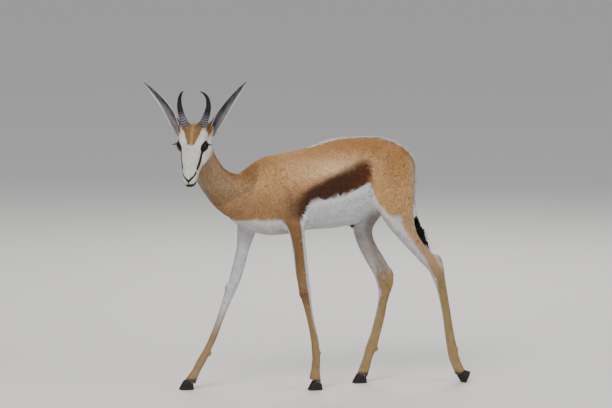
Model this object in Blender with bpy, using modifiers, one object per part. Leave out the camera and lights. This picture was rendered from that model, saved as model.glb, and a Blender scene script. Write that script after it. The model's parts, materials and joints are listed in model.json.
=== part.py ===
"""A young springbok ram in mid-stride, life size. Metres, +Z up, the animal walks towards -X."""
import math
from random import Random

import bmesh
import bpy
import numpy as np
from mathutils import Euler, Matrix, Vector

# Driving dimensions
GAP = 0.0003                 # clearance between nodes that touch
BODY_VOXEL = 0.0028          # grain of the fused body
HEAD_VOXEL = 0.0014          # grain of the fused head
BODY_TRIANGLES = 6200        # before the parts are cut from one another
HEAD_TRIANGLES = 2250
RING_SIDES = 28
CLAW_LENGTH = 0.047
CLAW_WIDTH = 0.0168
CLEFT = 0.0016               # between the two claws of a foot
CORONET_HEEL = 0.019         # height of the coronet above the sole at the heel
CORONET_FRONT = 0.031
EYE_RADIUS = 0.0166
LID = 0.0026                 # thickness of an eyelid
EYE_AT = (0.088, 0.0312, -0.025)
EYE_AXIS = (0.60, 0.72, 0.35)  # the way the eye looks, in the head's frame
EYE_HALF_WIDTH = 0.0156      # of the opening between the lids
EYE_HALF_HEIGHT = 0.0120
MOUTH_SLIT = 0.0014
EAR_LENGTH = 0.193
HORN_BASE_RADIUS = 0.0132
CREST_LOCKS = 14
CREST_FROM = 0.03            # along the back
CREST_TO = 0.315
CREST_LENGTH = 0.068
CREST_WIDTH = 0.022
CREST_THICKNESS = 0.0056
TUFT_LOCKS = 11
TUFT_LENGTH = 0.092
TUFT_WIDTH = 0.0165
TUFT_THICKNESS = 0.0062
SEED = 4

# Each slot: colour, roughness
FINISHES = {
    "coat": ((0.36, 0.17, 0.07), 0.85),
    "tuft": ((0.020, 0.014, 0.011), 0.80),
    "hoof": ((0.022, 0.019, 0.017), 0.45),
    "horn": ((0.035, 0.031, 0.028), 0.50),
    "eye": ((0.012, 0.007, 0.005), 0.08),
}
SLOT_OF = {"tail": "tuft", "hoof": "hoof", "horn": "horn", "eye": "eye"}

# The trunk: x, top, bottom, half width, power of the upper half of the section
TRUNK = (
    (-0.250, 0.625, 0.580, 0.018, 2.0),
    (-0.235, 0.660, 0.545, 0.044, 2.0),
    (-0.200, 0.698, 0.512, 0.064, 1.9),
    (-0.145, 0.740, 0.490, 0.078, 1.7),
    (-0.080, 0.753, 0.488, 0.088, 1.8),
    (0.000, 0.767, 0.500, 0.098, 2.0),
    (0.080, 0.790, 0.503, 0.102, 2.1),
    (0.150, 0.796, 0.513, 0.094, 2.2),
    (0.210, 0.797, 0.545, 0.082, 2.2),
    (0.270, 0.785, 0.572, 0.076, 2.2),
    (0.320, 0.761, 0.602, 0.064, 2.1),
    (0.352, 0.733, 0.640, 0.044, 2.0),
    (0.366, 0.706, 0.668, 0.018, 2.0),
)

# The neck: x, y, z, half width, half depth, turn of its crest away from the trunk's
NECK = (
    (-0.130, 0.000, 0.622, 0.068, 0.100, 0),
    (-0.227, 0.000, 0.614, 0.058, 0.074, 0),
    (-0.296, -0.004, 0.660, 0.050, 0.053, 8),
    (-0.341, -0.014, 0.728, 0.042, 0.046, 25),
    (-0.362, -0.031, 0.792, 0.035, 0.045, 45),
    (-0.369, -0.048, 0.824, 0.031, 0.036, 55),
    (-0.379, -0.063, 0.838, 0.019, 0.019, 60),
)

# Each leg: z, front x, rear x, y, half width
LEFT_FORE = (
    (0.650, -0.170, -0.072, -0.040, 0.028),
    (0.600, -0.146, -0.040, -0.052, 0.032),
    (0.550, -0.106, -0.018, -0.064, 0.030),
    (0.510, -0.083, -0.025, -0.070, 0.024),
    (0.450, -0.069, -0.021, -0.072, 0.0195),
    (0.385, -0.059, -0.016, -0.071, 0.0165),
    (0.340, -0.050, -0.011, -0.070, 0.0170),
    (0.315, -0.045, -0.008, -0.070, 0.0175),
    (0.285, -0.036, -0.005, -0.070, 0.0145),
    (0.225, -0.019, 0.004, -0.069, 0.0118),
    (0.160, -0.006, 0.019, -0.068, 0.0118),
    (0.125, -0.003, 0.023, -0.068, 0.0150),
    (0.098, -0.001, 0.025, -0.068, 0.0145),
    (0.066, -0.005, 0.024, -0.068, 0.0135),
    (0.040, -0.011, 0.026, -0.068, 0.0165),
    (0.016, -0.013, 0.029, -0.068, 0.0178),
)
RIGHT_FORE = (
    (0.650, -0.200, -0.110, 0.036, 0.026),
    (0.600, -0.214, -0.106, 0.048, 0.030),
    (0.545, -0.214, -0.122, 0.060, 0.029),
    (0.500, -0.210, -0.140, 0.066, 0.025),
    (0.440, -0.211, -0.166, 0.067, 0.0195),
    (0.376, -0.225, -0.186, 0.066, 0.0165),
    (0.340, -0.236, -0.199, 0.065, 0.0170),
    (0.313, -0.247, -0.211, 0.065, 0.0175),
    (0.281, -0.256, -0.227, 0.065, 0.0145),
    (0.218, -0.278, -0.254, 0.065, 0.0118),
    (0.155, -0.305, -0.279, 0.064, 0.0118),
    (0.120, -0.323, -0.298, 0.064, 0.0145),
    (0.093, -0.341, -0.310, 0.064, 0.0150),
    (0.062, -0.358, -0.328, 0.064, 0.0135),
    (0.040, -0.375, -0.339, 0.064, 0.0165),
    (0.016, -0.392, -0.348, 0.064, 0.0178),
)
LEFT_HIND = (
    (0.700, 0.200, 0.325, -0.034, 0.040),
    (0.630, 0.196, 0.347, -0.048, 0.044),
    (0.560, 0.220, 0.341, -0.060, 0.040),
    (0.505, 0.254, 0.347, -0.065, 0.031),
    (0.469, 0.287, 0.363, -0.067, 0.0245),
    (0.433, 0.321, 0.391, -0.068, 0.0195),
    (0.412, 0.343, 0.414, -0.068, 0.0180),
    (0.396, 0.358, 0.432, -0.068, 0.0175),
    (0.371, 0.385, 0.440, -0.068, 0.0180),
    (0.340, 0.403, 0.444, -0.067, 0.0165),
    (0.292, 0.421, 0.453, -0.066, 0.0128),
    (0.223, 0.437, 0.466, -0.064, 0.0118),
    (0.158, 0.447, 0.478, -0.062, 0.0125),
    (0.116, 0.454, 0.488, -0.061, 0.0150),
    (0.080, 0.461, 0.497, -0.060, 0.0140),
    (0.052, 0.473, 0.509, -0.060, 0.0160),
    (0.025, 0.484, 0.522, -0.060, 0.0178),
)
RIGHT_HIND = (
    (0.700, 0.180, 0.320, 0.034, 0.040),
    (0.630, 0.158, 0.332, 0.049, 0.046),
    (0.560, 0.158, 0.298, 0.056, 0.042),
    (0.500, 0.172, 0.247, 0.056, 0.030),
    (0.457, 0.183, 0.248, 0.054, 0.0245),
    (0.410, 0.205, 0.272, 0.051, 0.0195),
    (0.375, 0.226, 0.291, 0.048, 0.0180),
    (0.345, 0.243, 0.307, 0.046, 0.0175),
    (0.318, 0.253, 0.309, 0.044, 0.0180),
    (0.290, 0.258, 0.299, 0.042, 0.0160),
    (0.255, 0.256, 0.287, 0.040, 0.0128),
    (0.205, 0.243, 0.277, 0.037, 0.0118),
    (0.155, 0.228, 0.262, 0.034, 0.0125),
    (0.115, 0.212, 0.250, 0.032, 0.0150),
    (0.080, 0.202, 0.234, 0.031, 0.0140),
    (0.048, 0.189, 0.225, 0.030, 0.0162),
    (0.016, 0.176, 0.215, 0.030, 0.0178),
)

# Each foot: heel of its sole x, y, z, and how far its toe points down
FEET = {
    "fore_left": (0.031, -0.068, 0.0, 0.0),
    "fore_right": (-0.354, 0.064, 0.0, 0.0),
    "hind_left": (0.532, -0.060, 0.035, 66.0),
    "hind_right": (0.213, 0.030, 0.0, 0.0),
}

# The head's own frame: origin on top of the poll, +x to the nose, +y to its left, +z out of the brow
HEAD_AT = Vector((-0.391, -0.085, 0.877))
HEAD_TURN = 62.0             # from the trunk's line towards the animal's left
HEAD_PITCH = 52.0            # of the face below the horizon

# The skull: x, top, bottom, half width, how much the upper half is wider than the lower
SKULL = (
    (-0.024, -0.074, -0.086, 0.012, 0.10),
    (-0.016, -0.058, -0.098, 0.028, 0.10),
    (0.000, -0.038, -0.108, 0.038, 0.12),
    (0.016, -0.014, -0.112, 0.042, 0.14),
    (0.034, 0.004, -0.114, 0.043, 0.16),
    (0.060, 0.007, -0.116, 0.040, 0.18),
    (0.085, 0.003, -0.111, 0.037, 0.18),
    (0.110, -0.004, -0.101, 0.0365, 0.14),
    (0.140, -0.013, -0.090, 0.0320, 0.08),
    (0.165, -0.020, -0.083, 0.0272, 0.04),
    (0.187, -0.026, -0.081, 0.0240, 0.00),
    (0.203, -0.034, -0.079, 0.0212, 0.00),
    (0.213, -0.043, -0.074, 0.0155, 0.00),
    (0.218, -0.051, -0.062, 0.0060, 0.00),
)


def rad(degrees):
    return math.radians(degrees)


def head_frame():
    """The matrix from the head's own frame to the world."""
    turn, pitch = rad(HEAD_TURN), rad(HEAD_PITCH)
    level = Vector((-math.cos(turn), -math.sin(turn), 0))
    forward = level * math.cos(pitch) - Vector((0, 0, math.sin(pitch)))
    left = Vector((0, 0, 1)).cross(level)
    up = forward.cross(left)
    return Matrix.Translation(HEAD_AT) @ Matrix((forward, left, up)).transposed().to_4x4()


def foot_frame(name):
    """The matrix of a foot: origin at its heel on the sole, +x to the toe, +z up the hoof."""
    x, y, z, pitch = FEET[name]
    toe = Vector((-math.cos(rad(pitch)), 0, -math.sin(rad(pitch))))
    side = Vector((0, -1, 0))
    return Matrix.Translation((x, y, z)) @ Matrix((toe, side, toe.cross(side))).transposed().to_4x4()


def smooth_rows(rows, count):
    """Rows read off the smooth curve that passes through the given rows."""
    rows = np.array(rows, float)
    ends = np.vstack([2 * rows[0] - rows[1], rows, 2 * rows[-1] - rows[-2]])
    out = []
    for at in np.linspace(0, len(rows) - 1, count):
        i = min(int(at), len(rows) - 2)
        f = at - i
        a, b, c, d = ends[i:i + 4]
        out.append(b + 0.5 * f * (c - a + f * (2 * a - 5 * b + 4 * c - d + f * (3 * (b - c) + d - a))))
    return out


def section(centre, side, up, width, top, bottom, power=(2.2, 2.2), egg=0.0, sides=RING_SIDES):
    """A closed ring: a rounded form, unlike above and below, that may be wider above."""
    ring = []
    for k in range(sides):
        angle = 2 * math.pi * k / sides
        c, s = math.cos(angle), math.sin(angle)
        p = power[0] if s > 0 else power[1]
        across = width * math.copysign(abs(c) ** (2 / p), c) * (1 + egg * s)
        high = (top if s > 0 else bottom) * math.copysign(abs(s) ** (2 / p), s)
        ring.append(centre + side * across + up * high)
    return ring


def add_loft(clay, rings, frame=None):
    """Joins the rings into one closed body."""
    loops = [[clay.verts.new(frame @ p if frame else p) for p in ring] for ring in rings]
    faces = []
    for one, two in zip(loops, loops[1:]):
        for i in range(len(one)):
            j = (i + 1) % len(one)
            faces.append(clay.faces.new((one[i], one[j], two[j], two[i])))
    faces.append(clay.faces.new(loops[0][::-1]))
    faces.append(clay.faces.new(loops[-1]))
    bmesh.ops.recalc_face_normals(clay, faces=faces)


def add_mass(clay, at, radii, turn=(0, 0, 0), frame=None):
    """A muscle or bone: a ball stretched to its radii and turned by degrees."""
    own = Matrix.LocRotScale(Vector(at), Euler([rad(a) for a in turn]), Vector(radii))
    bmesh.ops.create_uvsphere(clay, u_segments=28, v_segments=18, radius=1,
                              matrix=frame @ own if frame else own)


def add_pair(clay, at, radii, turn=(0, 0, 0), frame=None):
    """The same mass on both sides."""
    x, y, z = at
    add_mass(clay, (x, y, z), radii, turn, frame)
    add_mass(clay, (x, -y, z), radii, (-turn[0], turn[1], -turn[2]), frame)


def to_object(clay, name):
    mesh = bpy.data.meshes.new(name)
    clay.to_mesh(mesh)
    clay.free()
    obj = bpy.data.objects.new(name, mesh)
    bpy.context.scene.collection.objects.link(obj)
    return obj


def settle(obj):
    """Keeps the shape that the modifiers give and takes them off."""
    graph = bpy.context.evaluated_depsgraph_get()
    mesh = bpy.data.meshes.new_from_object(obj.evaluated_get(graph))
    obj.modifiers.clear()
    old = obj.data
    obj.data = mesh
    bpy.data.meshes.remove(old)


def fuse(clay, name, voxel, passes, triangles, softness):
    """One skin round all the masses, softened by softness(point), then brought to few facets."""
    obj = to_object(clay, name)
    remesh = obj.modifiers.new("skin", "REMESH")
    remesh.mode = "VOXEL"
    remesh.voxel_size = voxel
    settle(obj)
    group = obj.vertex_groups.new(name="soft")
    for v in obj.data.vertices:
        group.add([v.index], softness(v.co), "REPLACE")
    soften = obj.modifiers.new("soften", "SMOOTH")
    soften.factor = 0.5
    soften.iterations = passes
    soften.vertex_group = "soft"
    settle(obj)
    thin = obj.modifiers.new("facets", "DECIMATE")
    thin.ratio = triangles / (2 * len(obj.data.polygons))
    settle(obj)
    return obj


def boolean(obj, other, operation):
    """Cuts or joins with another mesh, which is used up."""
    cut = obj.modifiers.new(operation.lower(), "BOOLEAN")
    cut.operation = operation
    cut.object = other
    settle(obj)
    bpy.data.objects.remove(other)


def box(low, high, frame=Matrix.Identity(4), grow=0.0):
    """A box in a frame, from its lowest to its highest corner, grown on every side."""
    clay = bmesh.new()
    low, high = Vector(low), Vector(high)
    size = high - low + Vector((2 * grow,) * 3)
    own = Matrix.Translation((low + high) / 2) @ Matrix.Diagonal((*size, 1))
    bmesh.ops.create_cube(clay, size=1, matrix=frame @ own)
    return to_object(clay, "cutter")


def copy_of(obj, name):
    twin = bpy.data.objects.new(name, obj.data.copy())
    twin.matrix_world = obj.matrix_world
    bpy.context.scene.collection.objects.link(twin)
    return twin


def largest_only(obj):
    """Keeps the largest closed surface and drops the scraps of a cut."""
    clay = bmesh.new()
    clay.from_mesh(obj.data)
    left = set(clay.faces)
    islands = []
    while left:
        front = [left.pop()]
        island = list(front)
        while front:
            for edge in front.pop().edges:
                for face in edge.link_faces:
                    if face in left:
                        left.remove(face)
                        front.append(face)
                        island.append(face)
        islands.append(island)
    islands.sort(key=lambda faces: -sum(f.calc_area() for f in faces))
    for island in islands[1:]:
        bmesh.ops.delete(clay, geom=island, context="FACES")
    bmesh.ops.triangulate(clay, faces=clay.faces)
    clay.to_mesh(obj.data)
    clay.free()


def part_off(body, name, low, high, frame=Matrix.Identity(4)):
    """Takes the part of the body inside the box off as a node of its own, a gap away."""
    piece = copy_of(body, name)
    boolean(piece, box(low, high, frame), "INTERSECT")
    boolean(body, box(low, high, frame, GAP), "DIFFERENCE")
    largest_only(piece)
    largest_only(body)
    return piece


def grown(obj, by):
    """A copy of a node, fattened along its normals."""
    twin = copy_of(obj, "grown")
    swell = twin.modifiers.new("swell", "DISPLACE")
    swell.mid_level = 0
    swell.strength = by
    settle(twin)
    return twin


def set_against(piece, carrier):
    """Cuts the root of a piece to the surface of what carries it."""
    boolean(piece, grown(carrier, GAP), "DIFFERENCE")
    largest_only(piece)


def lock_rings(root, out, lie, length, width, thick, bend):
    """A flat tapered lock: leaves the surface along out and bends over to lie."""
    side = out.cross(lie).normalized()
    rings = []
    at = root.copy()
    steps = 5
    for k in range(steps + 1):
        f = k / steps
        along = (out * (1 - f) ** bend + lie * (0.25 + f)).normalized()
        normal = side.cross(along)
        taper = (1 - 0.86 * f ** 1.6) * (0.75 + 0.25 * math.sin(math.pi * min(1, f * 2)))
        rings.append([at + side * (c * width / 2 * taper) + normal * (s * thick / 2 * taper)
                      for c, s in ((1, 0), (0, 1), (-1, 0), (0, -1))])
        at = at + along * (length / steps)
    return rings


def add_locks(obj, locks):
    """Joins locks to a node with one union."""
    group = bpy.data.collections.new("locks")
    for rings in locks:
        clay = bmesh.new()
        add_loft(clay, rings)
        bmesh.ops.triangulate(clay, faces=clay.faces)
        lock = to_object(clay, "lock")
        bpy.context.scene.collection.objects.unlink(lock)
        group.objects.link(lock)
    join = obj.modifiers.new("locks", "BOOLEAN")
    join.operation = "UNION"
    join.operand_type = "COLLECTION"
    join.collection = group
    settle(obj)
    for lock in list(group.objects):
        bpy.data.objects.remove(lock)
    bpy.data.collections.remove(group)
    largest_only(obj)


def add_leg(clay, rows, count):
    side, up = Vector((0, 1, 0)), Vector((1, 0, 0))
    rings = []
    for z, front, rear, y, width in smooth_rows(rows, count):
        half = (rear - front) / 2
        rings.append(section(Vector(((front + rear) / 2, y, z)), side, up, width, half, half))
    add_loft(clay, rings)


def add_trunk(clay):
    side, up = Vector((0, 1, 0)), Vector((0, 0, 1))
    rings = []
    for x, top, bottom, width, power in smooth_rows(TRUNK, 44):
        level = bottom + 0.46 * (top - bottom)
        rings.append(section(Vector((x, 0, level)), side, up, width, top - level, level - bottom,
                             (power, 2.2)))
    add_loft(clay, rings)


def neck_rings(rows, count):
    stations = smooth_rows(rows, count)
    centres = [Vector(row[:3]) for row in stations]
    rings = []
    for k, row in enumerate(stations):
        along = centres[min(k + 1, count - 1)] - centres[max(k - 1, 0)]
        along.normalize()
        turn = rad(row[5])
        crest = Vector((math.cos(turn), math.sin(turn), 0.35))
        crest = (crest - along * crest.dot(along)).normalized()
        rings.append(section(centres[k], along.cross(crest), crest, row[3], row[4], row[4]))
    return rings


def add_muscles(clay):
    """Shoulders, breast, haunches and the joints that show under the skin."""
    add_pair(clay, (-0.138, 0.043, 0.634), (0.056, 0.026, 0.092), (18, -16, 0))
    add_pair(clay, (-0.112, 0.058, 0.592), (0.068, 0.029, 0.042), (6, 24, 0))
    add_pair(clay, (-0.222, 0.034, 0.602), (0.030, 0.026, 0.042), (0, 20, 0))
    add_mass(clay, (-0.214, 0, 0.570), (0.046, 0.040, 0.048), (0, 20, 0))
    add_mass(clay, (0.262, -0.046, 0.670), (0.090, 0.044, 0.104), (-6, -14, 0))
    add_mass(clay, (0.246, 0.044, 0.668), (0.086, 0.044, 0.102), (6, 0, 0))
    add_pair(clay, (0.202, 0.046, 0.744), (0.040, 0.024, 0.024), (0, 14, 0))
    add_pair(clay, (0.172, 0.050, 0.640), (0.075, 0.030, 0.075), (0, 30, 0))
    add_mass(clay, (0.160, 0, 0.519), (0.036, 0.013, 0.012), (0, -10, 0))
    add_mass(clay, (0.268, 0, 0.576), (0.024, 0.022, 0.028))


def add_joints(clay, rows, knee, fetlock, hind):
    """The point of the hock or the knee, and the two dewclaws behind the fetlock."""
    z, front, rear, y, width = rows[knee]
    if hind:
        add_mass(clay, (rear - 0.010, y, z + 0.006), (0.0105, 0.009, 0.022), (0, -28, 0))
    else:
        add_mass(clay, (front + 0.013, y, z), (0.0145, width + 0.0005, 0.024))
    z, front, rear, y, width = rows[fetlock]
    for sign in (-1, 1):
        add_mass(clay, (rear - 0.003, y + sign * 0.0080, z - 0.008), (0.0066, 0.0050, 0.0090),
                 (0, 24, 0))


def make_body():
    clay = bmesh.new()
    add_trunk(clay)
    add_loft(clay, neck_rings(NECK, 26))
    add_muscles(clay)
    for rows in (LEFT_FORE, RIGHT_FORE):
        add_leg(clay, rows, 60)
        add_joints(clay, rows, 7, 11, False)
    for rows in (LEFT_HIND, RIGHT_HIND):
        add_leg(clay, rows, 60)
        add_joints(clay, rows, 7, 13, True)

    def softness(p):
        return min(1.0, max(0.05, (p.z - 0.36) / 0.16))

    return fuse(clay, "torso", BODY_VOXEL, 90, BODY_TRIANGLES, softness)


def make_head():
    """The head with its cheeks, orbits, lips and nose, and the neck's upper end behind it."""
    frame = head_frame()
    clay = bmesh.new()
    rings = []
    for x, top, bottom, width, egg in smooth_rows(SKULL, 44):
        level = bottom + 0.56 * (top - bottom)
        rings.append(section(Vector((x, 0, level)), Vector((0, 1, 0)), Vector((0, 0, 1)), width,
                             top - level, level - bottom, (2.3, 2.3), egg))
    add_loft(clay, rings, frame)
    add_loft(clay, neck_rings(NECK[2:], 20))
    add_pair(clay, (0.070, 0.029, -0.070), (0.056, 0.0140, 0.036), (0, 18, -4), frame)
    add_pair(clay, (0.066, 0.0290, -0.022), (0.040, 0.0175, 0.024), (0, 0, -2), frame)
    add_pair(clay, (0.094, 0.0280, -0.040), (0.036, 0.0120, 0.018), (0, 10, -8), frame)
    for sign in (1, -1):
        add_mass(clay, eye_centre(sign), (EYE_RADIUS + LID,) * 3)
    add_pair(clay, (0.122, 0.0285, -0.050), (0.040, 0.007, 0.010), (0, 14, -12), frame)
    add_pair(clay, (0.034, 0.027, -0.001), (0.022, 0.018, 0.014), (0, 0, 0), frame)
    add_pair(clay, (0.022, 0.0400, -0.039), (0.026, 0.0160, 0.025), (0, 0, 0), frame)
    add_mass(clay, (0.199, 0, -0.045), (0.017, 0.0180, 0.013), (0, 24, 0), frame)
    add_pair(clay, (0.190, 0.012, -0.057), (0.023, 0.013, 0.011), (0, 8, -10), frame)
    add_mass(clay, (0.188, 0, -0.075), (0.022, 0.0165, 0.0090), (0, 6, 0), frame)
    return fuse(clay, "head", HEAD_VOXEL, 30, HEAD_TRIANGLES, lambda p: 1.0)


def almond(sign):
    """The opening between the lids: pointed at both corners, along the eye's own axis."""
    frame = head_frame()
    turn = frame.to_3x3()
    axis = (turn @ Vector((EYE_AXIS[0], sign * EYE_AXIS[1], EYE_AXIS[2]))).normalized()
    across = turn @ Vector((1, 0, -0.10))
    across = (across - axis * across.dot(axis)).normalized()
    high = axis.cross(across)
    rings = []
    for out, scale in ((0.004, 0.90), (0.045, 1.10)):
        ring = []
        for k in range(20):
            a = 2 * math.pi * k / 20
            width = EYE_HALF_WIDTH * scale * math.cos(a)
            height = EYE_HALF_HEIGHT * scale * math.copysign(abs(math.sin(a)) ** 1.25, math.sin(a))
            ring.append(eye_centre(sign) + axis * out + across * width + high * height)
        rings.append(ring)
    clay = bmesh.new()
    add_loft(clay, rings)
    return to_object(clay, "cutter")


def mouth_slit():
    """A thin band that runs round the muzzle from one corner of the mouth to the other."""
    rings = []
    for k in range(25):
        a = math.pi * (k / 24 - 0.5)
        z = -0.0680 + 0.0050 * math.cos(a) ** 2
        ring = []
        for reach, half, lift in ((0.066, 0.0225, -1), (0.100, 0.038, -1.8),
                                  (0.100, 0.038, 1.8), (0.066, 0.0225, 1)):
            x = 0.143 + reach * math.cos(a)
            ring.append(Vector((x, half * math.sin(a), z + lift * MOUTH_SLIT / 2)))
        rings.append(ring)
    clay = bmesh.new()
    add_loft(clay, rings, head_frame())
    return to_object(clay, "cutter")


def cut_face(head):
    """Lids with the eye's opening between them, the nostrils and the line of the mouth."""
    for sign in (1, -1):
        boolean(head, almond(sign), "DIFFERENCE")
        clay = bmesh.new()
        add_mass(clay, (0.207, sign * 0.0105, -0.041), (0.010, 0.0021, 0.0085),
                 (-sign * 46, 0, sign * 24), head_frame())
        boolean(head, to_object(clay, "cutter"), "DIFFERENCE")
    boolean(head, mouth_slit(), "DIFFERENCE")


def make_ear(name, sign):
    """A leaf-shaped cup, almost closed to a tube at its root."""
    frame = head_frame()
    root = Vector((0.027, sign * 0.0488, -0.042))
    axis = Vector((-0.635, sign * (0.572 - 0.0325 * sign), 0.436)).normalized()
    face = Vector((0.60, sign * 0.30, 0.72))
    face = (face - axis * face.dot(axis)).normalized()
    side = axis.cross(face)
    clay = bmesh.new()
    rings = []
    # share of the length, half chord, opening half angle, wall
    rows = ((0.00, 0.0162, 150, 0.0042), (0.12, 0.0184, 135, 0.0038), (0.28, 0.0176, 112, 0.0032),
            (0.45, 0.0153, 96, 0.0028), (0.62, 0.0125, 84, 0.0025), (0.80, 0.0087, 74, 0.0022),
            (0.93, 0.0045, 66, 0.0018), (1.00, 0.0015, 60, 0.0014))
    for share, half, opening, wall in smooth_rows(rows, 13):
        angle = rad(opening)
        radius = half / math.sin(min(angle, math.pi / 2))
        bow = 0.012 * math.sin(math.pi * share)
        centre = root + axis * (share * EAR_LENGTH) + side * (-sign * 0.3 * bow) - face * bow
        outer = []
        inner = []
        for k in range(7):
            a = angle * (k / 3 - 1)
            edge = math.sqrt(1 - (k / 3 - 1) ** 2 * 0.75)
            spoke = side * math.sin(a) - face * math.cos(a)
            outer.append(centre + spoke * radius)
            inner.append(centre + spoke * (radius - wall * (0.35 + 0.65 * edge)))
        rings.append(outer + inner[::-1])
    add_loft(clay, rings, frame)
    bmesh.ops.triangulate(clay, faces=clay.faces)
    return to_object(clay, name)


def make_horn(name, sign):
    """A lyre-shaped horn, ringed below and smooth at its hooked tip."""
    frame = head_frame()
    # x, y, z in the head's frame
    path = ((0.034, 0.0275, -0.004), (0.028, 0.0320, 0.016), (0.014, 0.0400, 0.036),
            (-0.004, 0.0455, 0.054), (-0.022, 0.0440, 0.071), (-0.032, 0.0360, 0.084),
            (-0.036, 0.0260, 0.091))
    count = 31
    points = [Vector((x, sign * y, z)) for x, y, z in smooth_rows(path, count)]
    rings = []
    for k, point in enumerate(points):
        share = k / (count - 1)
        along = (points[min(k + 1, count - 1)] - points[max(k - 1, 0)]).normalized()
        side = along.cross(Vector((1, 0, 0.4))).normalized()
        ridge = 0.0011 * (1 if k % 2 else -0.2) * (1 if 0.08 < share < 0.62 else 0)
        radius = HORN_BASE_RADIUS * (1 - share) ** 0.85 + 0.0011 + ridge
        rings.append(section(point, side, along.cross(side), radius, radius, radius, (2, 2), 0, 8))
    clay = bmesh.new()
    add_loft(clay, rings, frame)
    bmesh.ops.triangulate(clay, faces=clay.faces)
    return to_object(clay, name)


def eye_centre(sign):
    return head_frame() @ Vector((EYE_AT[0], sign * EYE_AT[1], EYE_AT[2]))


def make_eye(name, sign):
    clay = bmesh.new()
    bmesh.ops.create_uvsphere(clay, u_segments=14, v_segments=9, radius=EYE_RADIUS,
                              matrix=Matrix.Translation(eye_centre(sign)))
    bmesh.ops.triangulate(clay, faces=clay.faces)
    return to_object(clay, name)


def make_claw(name, foot, sign):
    """One claw of a foot: a sloping wall in front, a flat sole and a pointed toe."""
    frame = foot_frame(foot)
    rings = []
    for high, wide in ((0.0, 0.93), (0.12, 0.93), (0.5, 0.96), (1.0, 0.86)):
        toe = CLAW_LENGTH * (1 - 0.40 * high)
        heel = 0.003 * high
        width = CLAW_WIDTH * wide
        ring = []
        for k in range(12):
            a = 2 * math.pi * k / 12
            x = heel + (toe - heel) * (0.5 - 0.5 * math.cos(a))
            y = width / 2 * math.copysign(abs(math.sin(a)) ** 0.8, math.sin(a))
            y *= 1 - 0.30 * (x / CLAW_LENGTH) ** 2
            z = high * (CORONET_HEEL + (CORONET_FRONT - CORONET_HEEL) * x / (0.6 * CLAW_LENGTH))
            ring.append(Vector((x, y + sign * (CLAW_WIDTH + CLEFT) / 2, z)))
        rings.append(ring)
    clay = bmesh.new()
    add_loft(clay, rings, frame)
    if FEET[foot][3]:
        geometry = clay.verts[:] + clay.edges[:] + clay.faces[:]
        cut = bmesh.ops.bisect_plane(clay, geom=geometry, plane_co=(0, 0, 0), plane_no=(0, 0, -1),
                                     clear_outer=True)
        rim = [e for e in cut["geom_cut"] if isinstance(e, bmesh.types.BMEdge)]
        bmesh.ops.edgeloop_fill(clay, edges=rim)
        bmesh.ops.recalc_face_normals(clay, faces=clay.faces)
    bmesh.ops.triangulate(clay, faces=clay.faces)
    return to_object(clay, name)


def trim_foot(leg, foot):
    """Ends a leg a gap above the coronet of its two claws."""
    frame = foot_frame(foot)
    slope = math.atan2(CORONET_FRONT - CORONET_HEEL, 0.6 * CLAW_LENGTH)
    plane = frame @ Matrix.Translation((0, 0, CORONET_HEEL + GAP)) @ Matrix.Rotation(-slope, 4, "Y")
    boolean(leg, box((-0.06, -0.05, -0.08), (0.09, 0.05, 0.0), plane), "DIFFERENCE")
    largest_only(leg)


def make_tail():
    """A thin tail that hangs behind the thighs, with a tuft of locks at its end."""
    rows = ((0.335, 0.000, 0.728, 0.015), (0.358, 0.002, 0.712, 0.0125), (0.367, 0.004, 0.665, 0.0095),
            (0.366, 0.006, 0.600, 0.0080), (0.372, 0.008, 0.545, 0.0070), (0.387, 0.010, 0.490, 0.0050),
            (0.398, 0.011, 0.455, 0.0020))
    rings = []
    stations = smooth_rows(rows, 20)
    for k, (x, y, z, radius) in enumerate(stations):
        ahead, behind = stations[min(k + 1, 19)], stations[max(k - 1, 0)]
        along = Vector(ahead[:3] - behind[:3]).normalized()
        side = along.cross(Vector((1, 0, 0.2))).normalized()
        rings.append(section(Vector((x, y, z)), side, along.cross(side), radius, radius, radius,
                             (2, 2), 0, 10))
    clay = bmesh.new()
    add_loft(clay, rings)
    bmesh.ops.triangulate(clay, faces=clay.faces)
    return to_object(clay, "tail")


def finish(node, slot):
    """Gives a node a material of its own in the colour of its slot, and smooth shading."""
    colour, roughness = FINISHES[slot]
    material = bpy.data.materials.new(f"{slot}_{node.name}")
    material.use_nodes = True
    shader = material.node_tree.nodes["Principled BSDF"]
    shader.inputs["Base Color"].default_value = (*colour, 1)
    shader.inputs["Roughness"].default_value = roughness
    shader.inputs["Metallic"].default_value = 0
    node.data.materials.clear()
    node.data.materials.append(material)
    node.data.shade_smooth()
    node.data.set_sharp_from_angle(angle=rad(40))


def crest_locks():
    """The fan of long hair, folded down along the back from behind the withers to the rump."""
    draw = Random(SEED)
    top = smooth_rows(TRUNK, 200)
    locks = []
    for k in range(CREST_LOCKS):
        share = k / (CREST_LOCKS - 1)
        x = CREST_FROM + (CREST_TO - CREST_FROM) * share
        here = min(top, key=lambda row: abs(row[0] - x))
        there = min(top, key=lambda row: abs(row[0] - x - 0.05))
        lie = Vector((0.05, 0, there[1] - here[1])).normalized()
        away = (1 if k % 2 else -1) * draw.uniform(0.10, 0.35)
        out = Vector((1, away, 0.30 - 0.25 * share)).normalized()
        root = Vector((x, 0.004 * (1 if k % 2 else -1), here[1] - 0.007))
        length = CREST_LENGTH * draw.uniform(0.85, 1.1) * (1 - 0.35 * share)
        locks.append(lock_rings(root, out, lie, length, CREST_WIDTH, CREST_THICKNESS, 1.7))
    return locks


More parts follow.
